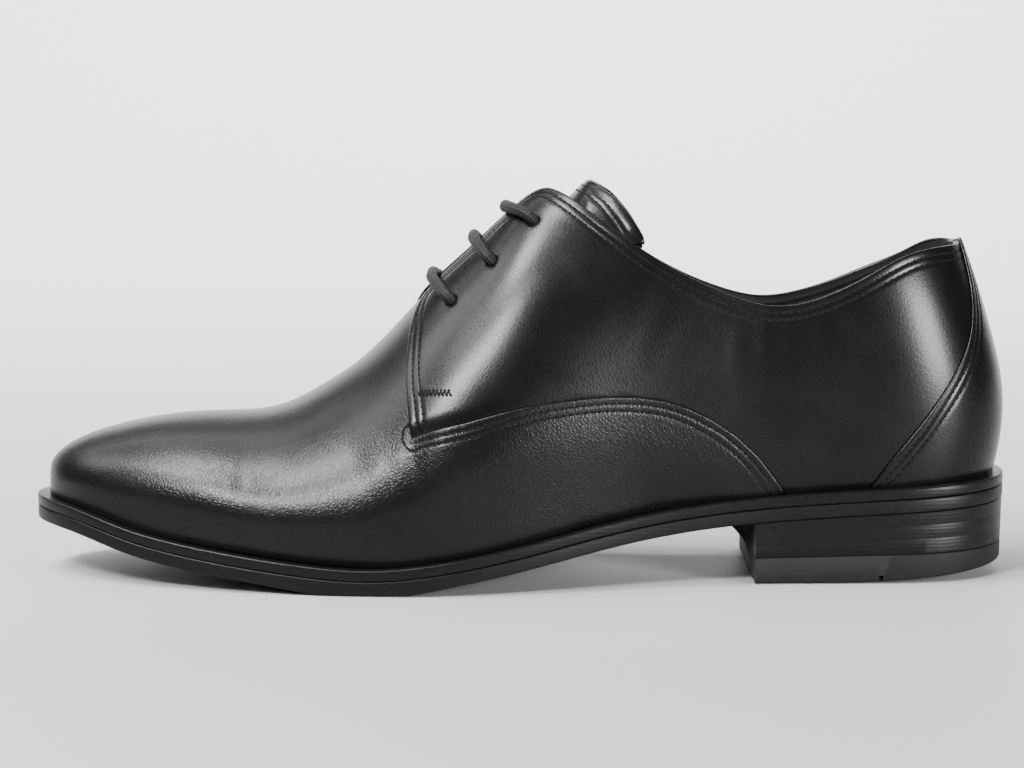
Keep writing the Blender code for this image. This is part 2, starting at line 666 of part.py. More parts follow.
def sole_ring(inset, height, stations=SOLE_STATIONS):
    """A closed outline of the sole, inset, with heights from a function of along."""
    places = inset / SOLE_LENGTH + (1 - 2 * inset / SOLE_LENGTH) * spread(stations)
    outer, inner = half_width(places, "outer", inset), half_width(places, "inner", inset)
    x = x_at(places)
    z = height(places) * np.ones(len(places))
    near = np.stack([x, -outer, z], axis=1)
    far = np.stack([x, inner, z], axis=1)[-2:0:-1]
    return np.concatenate([near, far])


def stack_rings(name, rings, capped=True, hidden=False):
    """A body through closed rings, from the lowest outwards and up. Without caps, the last ring
    joins the first, which makes a body with a hole through it."""
    count = len(rings[0])
    points = np.concatenate(rings)
    faces = []
    for r in range(len(rings) if not capped else len(rings) - 1):
        a, b = r * count, (r + 1) % len(rings) * count
        faces += [(a + k, a + (k + 1) % count, b + (k + 1) % count, b + k) for k in range(count)]
    if capped:
        half = count // 2
        for base in (0, (len(rings) - 1) * count):
            faces.append((base, base + 1, base + count - 1))
            for k in range(1, half - 1):
                faces.append((base + k, base + k + 1, base + count - k - 1, base + count - k))
            faces.append((base + half - 1, base + half, base + half + 1))
    return mesh_object(name, points, faces, hidden=hidden)


def tread(along):
    """The outsole's underside, pressed flat where the ball of the foot stands."""
    under = sole_under(along)
    return np.maximum(under - SOLE_FLAT_DEPTH * (1 - smooth(under / 3.0)), 0.0)


def make_outsole():
    bevel = EDGE_BEVEL
    rings = [
        sole_ring(2 * bevel, tread),
        sole_ring(0.0, lambda a: tread(a) + 1.3 * bevel),
        sole_ring(0.0, lambda a: outsole_top(a) - 0.5 * bevel),
        sole_ring(0.5 * bevel, outsole_top),
    ]
    return stack_rings("outsole", rings)


def make_welt():
    def low(along):
        return outsole_top(along) + CLEARANCE

    bevel = EDGE_BEVEL
    rings = [
        sole_ring(WELT_WIDTH, low),
        sole_ring(0.5 * bevel, low),
        sole_ring(0.0, lambda a: low(a) + 0.5 * bevel),
        sole_ring(0.0, lambda a: feather_height(a) - bevel),
        sole_ring(bevel, feather_height),
        sole_ring(WELT_WIDTH, feather_height),
    ]
    return stack_rings("welt", rings, capped=False)


def make_insole():
    inset = 1.05 * WELT_REVEAL + WALL + 2 * CLEARANCE
    rings = [
        sole_ring(inset + 0.6, lambda a: feather_height(a) + CLEARANCE),
        sole_ring(inset, lambda a: feather_height(a) + CLEARANCE + 0.6),
        sole_ring(inset + 0.2, lambda a: feather_height(a) + CLEARANCE + INSOLE_THICKNESS - 0.5),
        sole_ring(inset + 0.8, lambda a: feather_height(a) + CLEARANCE + INSOLE_THICKNESS),
    ]
    return stack_rings("insole", rings)


def lift_top(along):
    share = (along - (1 - HEEL_LENGTH / SOLE_LENGTH)) / (HEEL_LENGTH / SOLE_LENGTH)
    return TOP_LIFT_FRONT + (TOP_LIFT_BACK - TOP_LIFT_FRONT) * share


def lift_under(along):
    """The top lift's underside: flat at the front, then rolling up to the back."""
    start = 1 - (HEEL_LENGTH - HEEL_FLAT) / SOLE_LENGTH
    return HEEL_ROLL * np.clip((along - start) / (1 - start), 0, 1) ** 1.6


def breast_cutter(name):
    """What is cut away ahead of the heel: upright at its sides, scooped under the arch between."""
    breast = SOLE_LENGTH / 2 - HEEL_LENGTH
    top = float(sole_under(along_at(breast))) - CLEARANCE
    wide = 1.2 * float(half_width(along_at(breast), "outer"))
    across = np.concatenate([[-BALL_WIDTH], np.linspace(-wide, wide, 19), [BALL_WIDTH]])
    turns = np.linspace(0, 1, 9)
    heights = np.concatenate([[-TOP_LIFT_FRONT], top * np.sin(turns * math.pi / 2 * 0.94), [4 * top]])
    points = []
    for z in heights:
        share = min(max(z / top, 0.0), math.sin(math.pi / 2 * 0.94))
        scoop = BREAST_SCOOP * (1 - math.sqrt(1 - share**2))
        for y in across:
            along = float(along_at(breast))
            side = "outer" if y < 0 else "inner"
            inward = float(half_width(along, side)) - abs(y)
            points.append((breast - scoop * smooth((inward - 1.5) / BREAST_INSET), y, z))
    count, rows = len(across), len(heights)
    back = grid_faces(rows, count)
    front = [(-SOLE_LENGTH * 0.2, y, z) for _, y, z in points]
    offset = rows * count
    faces = back + [tuple(reversed(f)) for f in grid_faces(rows, count, offset)]
    rim = [i * count for i in range(rows)] + [(rows - 1) * count + j for j in range(1, count)]
    rim += [i * count + count - 1 for i in range(rows - 2, -1, -1)] + [j for j in range(count - 2, 0, -1)]
    faces += [(a, b, b + offset, a + offset) for a, b in zip(rim, rim[1:] + rim[:1])]
    return mesh_object(name, points + front, faces, hidden=True)


def heel_ring(inset, height):
    """The back part of a closed outline, ending ahead of the breast."""
    start = 1 - (HEEL_LENGTH + 2 * BREAST_SCOOP) / SOLE_LENGTH
    end = 1 - inset / SOLE_LENGTH
    turns = np.sin(np.linspace(0, math.pi / 2, 18))
    places = start + (end - start) * turns
    outer, inner = half_width(places, "outer", inset), half_width(places, "inner", inset)
    z = height(places) * np.ones(len(places))
    near = np.stack([x_at(places), -outer, z], axis=1)
    far = np.stack([x_at(places), inner, z], axis=1)[-2::-1]
    return np.concatenate([near, far])


def stack_heel(name, rings):
    count = len(rings[0])
    points = np.concatenate(rings)
    faces = []
    for r in range(len(rings) - 1):
        a, b = r * count, (r + 1) * count
        faces += [(a + k, a + (k + 1) % count, b + (k + 1) % count, b + k) for k in range(count)]
    half = count // 2
    for base in (0, (len(rings) - 1) * count):
        for k in range(half - 1):
            faces.append((base + k, base + k + 1, base + count - k - 2, base + count - k - 1))
        faces.append((base + half - 1, base + half, base + half + 1))
    return mesh_object(name, points, faces)


def make_heel_stack():
    rings = [
        heel_ring(HEEL_TAPER + 0.4, lambda a: lift_top(a) + CLEARANCE),
        heel_ring(HEEL_TAPER, lambda a: lift_top(a) + CLEARANCE + 0.4),
        heel_ring(0.2, lambda a: sole_under(a) - CLEARANCE - 0.4),
        heel_ring(0.6, lambda a: sole_under(a) - CLEARANCE),
    ]
    stack = stack_heel("heel_stack", rings)
    boolean(stack, "DIFFERENCE", breast_cutter("stack_breast"))
    return stack


def make_heel_lift():
    rings = [
        heel_ring(HEEL_TAPER + 0.9, lift_under),
        heel_ring(HEEL_TAPER + 0.1, lambda a: lift_under(a) + 0.7),
        heel_ring(HEEL_TAPER, lambda a: lift_top(a) - 0.3),
        heel_ring(HEEL_TAPER + 0.3, lift_top),
    ]
    lift = stack_heel("heel_top_lift", rings)
    boolean(lift, "DIFFERENCE", breast_cutter("lift_breast"))
    middle = SOLE_LENGTH / 2 - LIFT_GROOVE_BACK
    half = LIFT_GROOVE_WIDTH / 2
    top = float(lift_under(along_at(middle))) + LIFT_GROOVE_DEPTH
    outline = [(middle - half, -top), (middle + half, -top), (middle + half, top), (middle - half, top)]
    boolean(lift, "DIFFERENCE", side_prism("lift_groove", outline, -HEEL_WIDTH, HEEL_WIDTH))
    return lift


def leather(name, colour, roughness):
    made = bpy.data.materials.new(name)
    made.use_nodes = True
    surface = made.node_tree.nodes["Principled BSDF"]
    surface.inputs["Base Color"].default_value = (*colour, 1)
    surface.inputs["Roughness"].default_value = roughness
    return made


def main():
    for obj in list(bpy.data.objects):
        bpy.data.objects.remove(obj)
    pieces = (
        (make_upper, "black calf leather", LEATHER_BLACK, 0.32),
        (make_counter, "black counter leather", LEATHER_BLACK, 0.28),
        (make_tongue, "black tongue leather", LEATHER_BLACK, 0.4),
        (make_insole, "tan insole leather", INSOLE_TAN, 0.6),
        (make_welt, "black welt leather", LEATHER_BLACK, 0.4),
        (make_outsole, "black sole leather", LEATHER_BLACK, 0.45),
        (make_heel_stack, "black heel leather", LEATHER_BLACK, 0.4),
        (make_heel_lift, "black heel rubber", RUBBER_BLACK, 0.6),
        (make_lace, "black waxed cord", LEATHER_BLACK, 0.5),
    )
    for make, name, colour, roughness in pieces:
        make().data.materials.append(leather(name, colour, roughness))


main()
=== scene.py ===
"""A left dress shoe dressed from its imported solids: panels, seams, stitches, laces and sole edges.

Laid out as a Blender add-on: each piece is made by an operator that stays in the file, so any one
can be run again from its panel. Lengths are in millimetres until a mesh is made, and the axes are
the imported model's: the toe at -X, the outer side at -Y, and the floor at Z = 0.
"""

import math

import bpy
import numpy as np
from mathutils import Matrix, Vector


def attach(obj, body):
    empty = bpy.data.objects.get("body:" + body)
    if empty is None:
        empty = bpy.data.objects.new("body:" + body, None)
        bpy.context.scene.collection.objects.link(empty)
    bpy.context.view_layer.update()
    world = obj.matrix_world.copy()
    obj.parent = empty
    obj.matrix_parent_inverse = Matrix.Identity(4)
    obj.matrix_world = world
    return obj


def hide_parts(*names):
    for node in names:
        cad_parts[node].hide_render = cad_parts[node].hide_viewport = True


bl_info = {
    "name": "Dress shoe",
    "version": (1, 0, 0),
    "blender": (4, 5, 0),
    "location": "View3D > Sidebar > Shoe",
    "description": "Builds the panels, seams, laces and sole of one dress shoe",
    "category": "Add Mesh",
}

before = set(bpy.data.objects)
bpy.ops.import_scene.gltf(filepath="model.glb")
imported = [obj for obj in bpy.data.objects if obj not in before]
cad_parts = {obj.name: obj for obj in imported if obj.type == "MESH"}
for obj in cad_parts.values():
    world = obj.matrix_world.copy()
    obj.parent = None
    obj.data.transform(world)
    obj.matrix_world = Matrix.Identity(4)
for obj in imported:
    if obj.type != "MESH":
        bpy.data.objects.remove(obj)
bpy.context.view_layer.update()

MM = 0.001
WELD_CELLS = 200  # per millimetre: grid points in one cell are one point

# The last and the sole, as in the solids. An along is a share of the sole's length from the toe.
SOLE_LENGTH = 303.0
BALL_WIDTH = 104.0
HEEL_WIDTH = 66.0
TOE_SPRING = 16.4
SEAT_RISE = 23.6
SOLE_DROP = 0.5
SOLE_FLAT_DEPTH = 0.7
TOE_ROUND = 46.0
HEEL_ROUND = 46.0
INSTEP_HEIGHT = 113.5
BACK_HEIGHT = 71.0
BACK_LEAN = 10.6
BACK_PEAK = 1.008
NOSE_HEIGHT = 6.5
NOSE_ROUND = 60.0
OUTSOLE_THICKNESS = 4.1
WELT_THICKNESS = 3.1
WELT_WIDTH = 13.0
WELT_REVEAL = 4.2
INSOLE_THICKNESS = 3.0
INSOLE_BEVEL = 0.8
EDGE_BEVEL = 0.5
LAYER_GAP = 0.12
TREAD_INSET = 9.0
HEEL_LENGTH = 80.0
HEEL_TAPER = 0.5
TOP_LIFT_FRONT = 7.6
TOP_LIFT_BACK = 9.2
HEEL_FLAT = 26.0
HEEL_ROLL = 3.6
BREAST_SCOOP = 13.5
BREAST_INSET = 12.0
SCOOP_SHARE = 0.94
LIFT_GROOVE_DEPTH = 1.8
LIFT_GROOVE_WIDTH = 1.4
LIFT_GROOVE_BACK = 41.5
WALL = 2.2
CLEARANCE = 0.3
INNER_COLLAR_FRONT = -2.4
INNER_COLLAR_BACK = 3.6
COLLAR_HALF_WIDTH = 27.0
CORD = 3.6
CORD_LIFT = 0.15
CORD_SIDES = 16
CORD_STEP = 0.7
LACING_GAP = 12.6
EYELET_DIAMETER = 4.8
TONGUE_FRONT_ALONG = 0.375
TONGUE_TIP_ALONG = 0.5685
TONGUE_SIDE_SWEEP = 18.0
TONGUE_WIDTH = 64.0
LOOP_ALONG = 0.3936
WING_END = 0.762

SOLE_PLAN = {
    "along": (0.00, 0.13, 0.20, 0.27, 0.34, 0.41, 0.48, 0.55, 0.62, 0.69, 0.77, 0.86, 1.00),
    "outer": (0.255, 0.370, 0.436, 0.483, 0.512, 0.519, 0.516, 0.509, 0.504, 0.514, 0.513, 0.504, 0.500),
    "inner": (0.250, 0.365, 0.418, 0.458, 0.479, 0.457, 0.402, 0.354, 0.351, 0.397, 0.462, 0.494, 0.500),
}
SOLE_RISE = {
    "along": (0.00, 0.045, 0.10, 0.20, 0.28, 0.36, 0.43, 0.50, 0.57, 0.65, 0.74, 0.86, 1.00),
    "toe": (1.00, 0.91, 0.63, 0.28, 0.10, 0.00, 0.00, 0.00, 0.00, 0.00, 0.00, 0.00, 0.00),
    "seat": (0.00, 0.00, 0.00, 0.00, 0.00, 0.02, 0.12, 0.29, 0.49, 0.68, 0.81, 0.91, 1.00),
}
SECTIONS = {
    "along": (0.00, 0.13, 0.20, 0.25, 0.30, 0.34, 0.38, 0.42, 0.46, 0.50, 0.55, 0.62, 0.72, 0.86, 1.00),
    "top": (
        0.405, 0.421, 0.425, 0.440, 0.506, 0.582, 0.690, 0.803, 0.906, 1.008, 1.076, 1.115, 1.145, 1.145, 1.130,
    ),
    "reveal": (0.90, 0.95, 1.00, 1.00, 1.00, 1.00, 0.95, 0.90, 0.90, 0.95, 1.00, 1.05, 1.00, 0.95, 1.00),
    "belly_out": (1.00, 1.03, 1.04, 1.04, 1.04, 1.04, 1.03, 1.03, 1.03, 1.04, 1.05, 1.06, 1.06, 1.06, 1.06),
    "belly_in": (1.00, 1.03, 1.04, 1.05, 1.05, 1.05, 1.07, 1.10, 1.13, 1.16, 1.20, 1.20, 1.12, 1.06, 1.06),
    "belly_up": (0.30, 0.30, 0.28, 0.26, 0.24, 0.23, 0.23, 0.23, 0.24, 0.25, 0.25, 0.24, 0.22, 0.21, 0.21),
    "side": (0.50, 0.50, 0.46, 0.42, 0.38, 0.36, 0.36, 0.38, 0.42, 0.45, 0.52, 0.66, 0.76, 0.74, 0.66),
    "crown": (0.55, 0.60, 0.58, 0.54, 0.50, 0.48, 0.50, 0.52, 0.54, 0.55, 0.56, 0.58, 0.60, 0.58, 0.54),
    "shift": (0.00, 0.015, 0.03, 0.035, 0.035, 0.03, 0.02, 0.01, 0.005, 0.00, 0.00, 0.00, 0.00, 0.00, 0.00),
}
BACK_CURVE = {
    "up": (0.00, 0.15, 0.30, 0.45, 0.60, 0.80, 1.00, 1.40),
    "behind": (0.00, 0.19, 0.25, 0.14, -0.11, -0.52, -1.00, -2.10),
}
TOPLINE = {
    "along": (
        0.470, 0.495, 0.515, 0.535, 0.555, 0.585, 0.620, 0.665, 0.710, 0.755, 0.805, 0.865, 0.925, 0.965, 1.02,
    ),
    "instep": (1.18, 1.070, 1.036, 1.032, 1.005, 0.892, 0.600, 0.300, 0, 0, 0, 0, 0, 0, 0),
    "back": (0, 0, 0, 0, 0, 0.065, 0.318, 0.577, 0.860, 0.835, 0.862, 0.930, 0.995, 1.010, 1.015),
}
INNER_TOPLINE = {
    "along": (0.58, 0.66, 0.74, 0.82, 0.88, 0.925, 0.965, 1.02),
    "down": (0.00, 1.00, 3.00, 5.40, 6.60, 6.40, 2.60, 0.00),
}
# The facing's front edge, from the slit up to the throat, then the throat's edge up to its top
# corner. Across is a share of the ball width; up is a height in millimetres, where it is used.
FACING_EDGE = {
    "along": (0.3936, 0.3928, 0.3907, 0.3898, 0.3904, 0.3919, 0.3948, 0.3982, 0.4045),
    "across": (0.000, 0.000, 0.000, 0.000, 0.240, 0.185, 0.134, 0.094, 0.066),
    "up": (45.6, 51.1, 57.9, 62.5, 0.0, 0.0, 0.0, 0.0, 0.0),
}
THROAT_EDGE = {
    "along": (0.4045, 0.4140, 0.4300, 0.4500, 0.4800, 0.5040, 0.5170, 0.5245, 0.5310, 0.5380),
    "across": (0.0660, 0.0615, 0.0600, 0.0600, 0.0600, 0.0600, 0.0620, 0.0720, 0.0930, 0.1200),
}
WING_SEAM = {
    "along": (0.375, 0.400, 0.430, 0.480, 0.540, 0.600, 0.640, 0.680, 0.710, 0.735, 0.765),
    "up": (0.385, 0.412, 0.433, 0.470, 0.500, 0.508, 0.495, 0.455, 0.405, 0.345, 0.240),
}
COUNTER_EDGE = {
    "up": (0.22, 0.27, 0.36, 0.47, 0.585, 0.70, 0.83, 0.92, 1.02, 1.12),
    "along": (0.838, 0.850, 0.872, 0.902, 0.930, 0.951, 0.958, 0.955, 0.946, 0.933),
}
EYELETS = {
    "along": (0.4328, 0.4725, 0.5140),
    "across": (0.225, 0.214, 0.188),
    "drift": (5.2, 4.6, 8.0),
}
TONGUE_TOP = {
    "back": (0.00, 0.36, 0.63, 0.84, 0.92, 1.00),
    "down": (0.00, 0.24, 0.55, 0.88, 1.15, 1.70),
}


# Plain measures, in millimetres and in shares of the sole's length.


def curve(table, key, column, places):
    """The natural cubic through a table's column, at places measured in its key column."""
    knots, values = np.array(table[key], float), np.array(table[column], float)
    gaps, count = np.diff(knots), len(knots)
    matrix, right = np.eye(count), np.zeros(count)
    slopes = np.diff(values) / gaps
    for i in range(1, count - 1):
        matrix[i, i - 1 : i + 2] = gaps[i - 1], 2 * (gaps[i - 1] + gaps[i]), gaps[i]
        right[i] = 6 * (slopes[i] - slopes[i - 1])
    bends = np.linalg.solve(matrix, right)
    places = np.clip(np.asarray(places, float), knots[0], knots[-1])
    i = np.clip(np.searchsorted(knots, places) - 1, 0, count - 2)
    a, b, h = knots[i + 1] - places, places - knots[i], gaps[i]
    return (
        (bends[i] * a**3 + bends[i + 1] * b**3) / (6 * h)
        + (values[i] / h - bends[i] * h / 6) * a
        + (values[i + 1] / h - bends[i + 1] * h / 6) * b
    )


def smooth(t):
    """A soft step from 0 at t = 0 to 1 at t = 1."""
    t = np.clip(t, 0.0, 1.0)
    return t * t * (3 - 2 * t)


def unit(vectors):
    return vectors / np.maximum(np.linalg.norm(vectors, axis=-1, keepdims=True), 1e-9)


def rounded_end(distance, reach):
    """The share of its full size that an outline has at a distance from its round end."""
    return np.sqrt(np.maximum(1 - (1 - np.clip(distance / reach, 0.0, 1.0)) ** 3, 0))


def x_at(along):
    return (np.asarray(along) - 0.5) * SOLE_LENGTH


def along_at(x):
    return np.asarray(x) / SOLE_LENGTH + 0.5


def local_width(along):
    return BALL_WIDTH + (HEEL_WIDTH - BALL_WIDTH) * smooth((along - 0.40) / 0.37)


def half_width(along, side, inset=0.0, end_insets=None):
    """Distance from the long axis to the sole's edge, or to a line that far inside it."""
    along = np.asarray(along, float)
    toe_inset, heel_inset = end_insets or (inset, inset)
    full = curve(SOLE_PLAN, "along", side, along) * local_width(along) - inset
    from_toe = along * SOLE_LENGTH - toe_inset
    from_heel = (1 - along) * SOLE_LENGTH - heel_inset
    return full * rounded_end(from_toe, TOE_ROUND) * rounded_end(from_heel, HEEL_ROUND)


def sole_under(along):
    toe = TOE_SPRING * curve(SOLE_RISE, "along", "toe", along)
    seat = SEAT_RISE * curve(SOLE_RISE, "along", "seat", along)
    return toe + seat - SOLE_DROP


def outsole_top(along):
    return sole_under(along) + OUTSOLE_THICKNESS


def feather_height(along):
    return outsole_top(along) + CLEARANCE + WELT_THICKNESS


def back_top():
    return float(feather_height(1.0)) + BACK_HEIGHT


def reveal(along):
    return WELT_REVEAL * curve(SECTIONS, "along", "reveal", along)


def bezier(a, b, c, d, t):
    return a * (1 - t) ** 3 + 3 * b * t * (1 - t) ** 2 + 3 * c * t**2 * (1 - t) + d * t**3


def half_section(along, side, steps):
    """Points of one half of the upper's section, from the feather line up to the ridge, and its
    length."""
    sign = -1 if side == "outer" else 1
    inset, end_insets = float(reveal(along)), (float(reveal(0.0)), float(reveal(1.0)))
    foot = float(half_width(along, side, inset, end_insets))
    value = {name: float(curve(SECTIONS, "along", name, along)) for name in SECTIONS if name != "along"}
    belly = foot * value["belly_out" if side == "outer" else "belly_in"]
    low = float(feather_height(along)) + CLEARANCE
    height = INSTEP_HEIGHT * value["top"] - low
    round_nose = float(rounded_end(along * SOLE_LENGTH - end_insets[0], NOSE_ROUND))
    high = low + NOSE_HEIGHT + (height - NOSE_HEIGHT) * round_nose
    belly_up = low + (high - low) * value["belly_up"]
    ridge = sign * BALL_WIDTH * value["shift"] * round_nose
    t = np.linspace(0, 1, 90)
    y = np.concatenate([
        bezier(foot, foot + 0.75 * (belly - foot), belly, belly, t),
        bezier(belly, belly, ridge + value["crown"] * (belly - ridge), ridge, t)[1:],
    ])
    z = np.concatenate([
        bezier(low, low + 0.15 * (belly_up - low), belly_up - 0.45 * (belly_up - low), belly_up, t),
        bezier(belly_up, belly_up + value["side"] * (high - belly_up), high, high, t)[1:],
    ])
    length = np.concatenate([[0], np.cumsum(np.hypot(np.diff(y), np.diff(z)))])
    total = length[-1]
    if total == 0:
        length = np.linspace(0, 1, len(length))
    even = np.linspace(0, length[-1], steps + 1)
    y, z = np.interp(even, length, y), np.interp(even, length, z)
    up = np.clip((z - low) / BACK_HEIGHT, 0, 1.4)
    pull = smooth((along - 0.62) / 0.38) ** 1.5
    x = x_at(along) + BACK_LEAN * curve(BACK_CURVE, "up", "behind", up) * pull
    return np.stack([x, sign * y, z], axis=1), total


class Form:
    """The last's surface, by t from the toe (0) to the back (1) and s from the outer feather line
    (-1) over the ridge (0) to the inner one (1). Past the toe or the back, t runs on round to the
    other side of the shoe."""

    ROWS, COLUMNS = 280, 90

    def __init__(self):
        self.front = float(reveal(0.0)) / SOLE_LENGTH
        self.back = 1 - float(reveal(1.0)) / SOLE_LENGTH
        rows, lengths = [], []
        for t in np.linspace(0, 1, self.ROWS + 1):
            along = self.front + (self.back - self.front) * (1 - math.cos(math.pi * t)) / 2
            outer, long_out = half_section(along, "outer", self.COLUMNS)
            inner, long_in = half_section(along, "inner", self.COLUMNS)
            rows.append(np.concatenate([outer, inner[-2::-1]]))
            lengths.append((long_out, long_in))
        self.grid = np.array(rows)
        self.lengths = np.array(lengths)
        wide = np.concatenate([
            2 * self.grid[:, :1] - self.grid[:, 1:2], self.grid, 2 * self.grid[:, -1:] - self.grid[:, -2:-1]
        ], axis=1)
        self.padded = np.concatenate([wide[1:2, ::-1], wide, wide[-2:-1, ::-1]])

    def t_at(self, along):
        share = np.clip((np.asarray(along, float) - self.front) / (self.back - self.front), 0, 1)
        return np.arccos(1 - 2 * share) / math.pi

    def raw(self, t, s):
        t, s = np.broadcast_arrays(np.asarray(t, float), np.asarray(s, float))
        flip = (t < 0) | (t > 1)
        t, s = np.where(t < 0, -t, np.where(t > 1, 2 - t, t)), np.where(flip, -s, s)
        u, v = t * self.ROWS, (np.clip(s, -1, 1) + 1) * self.COLUMNS
        i = np.clip(u.astype(int), 0, self.ROWS - 1)
        j = np.clip(v.astype(int), 0, 2 * self.COLUMNS - 1)
        wu, wv = self.weights(u - i), self.weights(v - j)
        found = 0
        for a in range(4):
            for b in range(4):
                found = found + (wu[a] * wv[b])[..., None] * self.padded[i + a, j + b]
        return found

    @staticmethod
    def weights(f):
        """The four weights of a smooth curve through evenly spaced values."""
        return (
            -0.5 * f + f**2 - 0.5 * f**3,
            1 - 2.5 * f**2 + 1.5 * f**3,
            0.5 * f + 2 * f**2 - 1.5 * f**3,
            -0.5 * f**2 + 0.5 * f**3,
        )

    def ways(self, t, s):
        """How the surface point moves with t and with s."""
        e = 2e-4
        low, high = np.maximum(s - e, -1), np.minimum(s + e, 1)
        along = (self.raw(t + e, s) - self.raw(t - e, s)) / (2 * e)
        across = (self.raw(t, high) - self.raw(t, low)) / (high - low)[..., None]
        return along, across

    def at(self, t, s):
        """Points on the surface and the unit directions out of it."""
        t, s = np.asarray(t, float), np.asarray(s, float)
        along, across = self.ways(t, s)
        return self.raw(t, s), unit(np.cross(along, across))

    def find(self, targets, axes, side):
        """(t, s) of the surface points on one side that have given values on two axes."""
        targets = np.asarray(targets, float)
        columns = slice(0, self.COLUMNS + 1) if side < 0 else slice(self.COLUMNS, 2 * self.COLUMNS + 1)
        part = self.grid[:, columns]
        flat = part.reshape(-1, 3)[:, axes]
        nearest = np.array([np.argmin(((flat - target) ** 2).sum(axis=1)) for target in targets])
        t = nearest // part.shape[1] / self.ROWS
        s = (nearest % part.shape[1] + columns.start) / self.COLUMNS - 1.0
        for _ in range(12):
            miss = targets - self.raw(t, s)[:, axes]
            along, across = (w[:, axes] for w in self.ways(t, s))
            det = along[:, 0] * across[:, 1] - along[:, 1] * across[:, 0]
            det = np.where(np.abs(det) < 1e-6, 1e-6, det)
            dt = (miss[:, 0] * across[:, 1] - miss[:, 1] * across[:, 0]) / det
            ds = (along[:, 0] * miss[:, 1] - along[:, 1] * miss[:, 0]) / det
            t = np.clip(t + np.clip(dt, -0.01, 0.01), 0, 1)
            s = np.clip(s + np.clip(ds, -0.02, 0.02), -1, 1)
        return np.stack([t, s], axis=1)

    def shift(self, ts, moves):
        """(t, s) moved over the surface by vectors in millimetres."""
        ts = np.array(ts, float)
        goal = self.raw(ts[:, 0], ts[:, 1]) + moves
        for _ in range(4):
            miss = goal - self.raw(ts[:, 0], ts[:, 1])
            along, across = self.ways(ts[:, 0], ts[:, 1])
            aa, ab, bb = (along * along).sum(1), (along * across).sum(1), (across * across).sum(1)
            ma, mb = (miss * along).sum(1), (miss * across).sum(1)
            det = np.maximum(aa * bb - ab * ab, 1e-6)
            ts[:, 0] += (ma * bb - mb * ab) / det
            ts[:, 1] = np.clip(ts[:, 1] + (aa * mb - ab * ma) / det, -1, 1)
        return ts


FORM = Form()

# The solids are centred on the shoe's width, and the ball stands out further on the outer side.
BALL_PLACES = np.linspace(0.2, 0.6, 401)
MIDDLE_LINE = 0.5 * float(
    half_width(BALL_PLACES, "outer").max() - half_width(BALL_PLACES, "inner").max()
)


# Curves on the form.


def on_form(stops):
    return FORM.raw(stops[:, 0], stops[:, 1])


def above_form(stops):
    """The points of (t, s) stops, and the unit directions out of the form there."""
    return FORM.at(stops[:, 0], stops[:, 1])


def read_at(places, run, table):
    """The rows of a table whose rows lie at run, read at places between them."""
    return np.stack([np.interp(places, run, column) for column in table.T], axis=1)


def path_length(points):
    return np.concatenate([[0], np.cumsum(np.linalg.norm(np.diff(points, axis=0), axis=1))])


def trace(stops, shares):
    """A smooth line over the form through (t, s) stops, sampled at shares of its length."""
    stops = np.asarray(stops, float)
    along = path_length(on_form(stops))
    table = {"along": along / along[-1], "t": stops[:, 0], "s": stops[:, 1]}
    fine = np.linspace(0, 1, 600)
    line = np.stack([curve(table, "along", name, fine) for name in ("t", "s")], axis=1)
    line[:, 1] = np.clip(line[:, 1], -1, 1)
    run = path_length(on_form(line))
    wanted = np.asarray(shares) * run[-1]
    return read_at(wanted, run, line)


def line_length(stops):
    line = trace(stops, np.linspace(0, 1, 300))
    return path_length(on_form(line))[-1]


def seam_height(along):
    return INSTEP_HEIGHT * curve(WING_SEAM, "along", "up", along)


def topline_height(along, side):
    height = INSTEP_HEIGHT * curve(TOPLINE, "along", "instep", along)
    height = height + back_top() * curve(TOPLINE, "along", "back", along)
    rise = INNER_COLLAR_FRONT + (INNER_COLLAR_BACK - INNER_COLLAR_FRONT) * smooth((along - 0.62) / 0.2)
    lower = curve(INNER_TOPLINE, "along", "down", along) if side > 0 else 0.0
    return height - lower + rise * side * COLLAR_HALF_WIDTH / HEEL_WIDTH


def facing_stops(side):
    found = []
    for along, across, up in zip(*(FACING_EDGE[c] for c in ("along", "across", "up"))):
        x = float(x_at(along))
        if up:
            found.append(FORM.find([(x, up)], [0, 2], side)[0])
        else:
            found.append(FORM.find([(x, side * across * BALL_WIDTH)], [0, 1], side)[0])
    return np.array(found)


def plan_stops(table, side):
    """The (t, s) on one side of a table's places, seen from above."""
    places = [(float(x_at(a)), side * w * BALL_WIDTH) for a, w in zip(table["along"], table["across"])]
    return FORM.find(places, [0, 1], side)


def throat_stops(side):
    return plan_stops(THROAT_EDGE, side)


def height_stop(t, height, side):
    """The (t, s) on one side of a section at a height."""
    shares = np.linspace(0, 1, 400)
    line = FORM.raw(np.full(400, float(t)), side * shares)
    return [float(t), side * float(np.interp(height, line[::-1, 2], shares[::-1]))]


def topline_stops(side):
    alongs = np.linspace(0.553, 0.96, 17)
    stops = [height_stop(FORM.t_at(a), topline_height(a, side), side) for a in alongs]
    return np.array(stops + [height_stop(1.0, back_top() * BACK_PEAK, side)])


def wing_stops(side, drop=0.0, first=LOOP_ALONG, last=WING_END):
    alongs = np.linspace(first, last, 16)
    floor = feather_height(alongs) + CLEARANCE
    places = np.stack([x_at(alongs), np.maximum(seam_height(alongs) - drop, floor)], axis=1)
    return FORM.find(places, [0, 2], side)


def topline_stop(along, side):
    """The topline's (t, s) on one side where it passes a place along the shoe, behind the ankle."""
    tries = np.linspace(float(FORM.t_at(0.9)), 1.0, 160)
    stops = np.array([height_stop(t, float(topline_height(along, side)), side) for t in tries])
    return stops[np.argmin(np.abs(on_form(stops)[:, 0] - float(x_at(along))))]


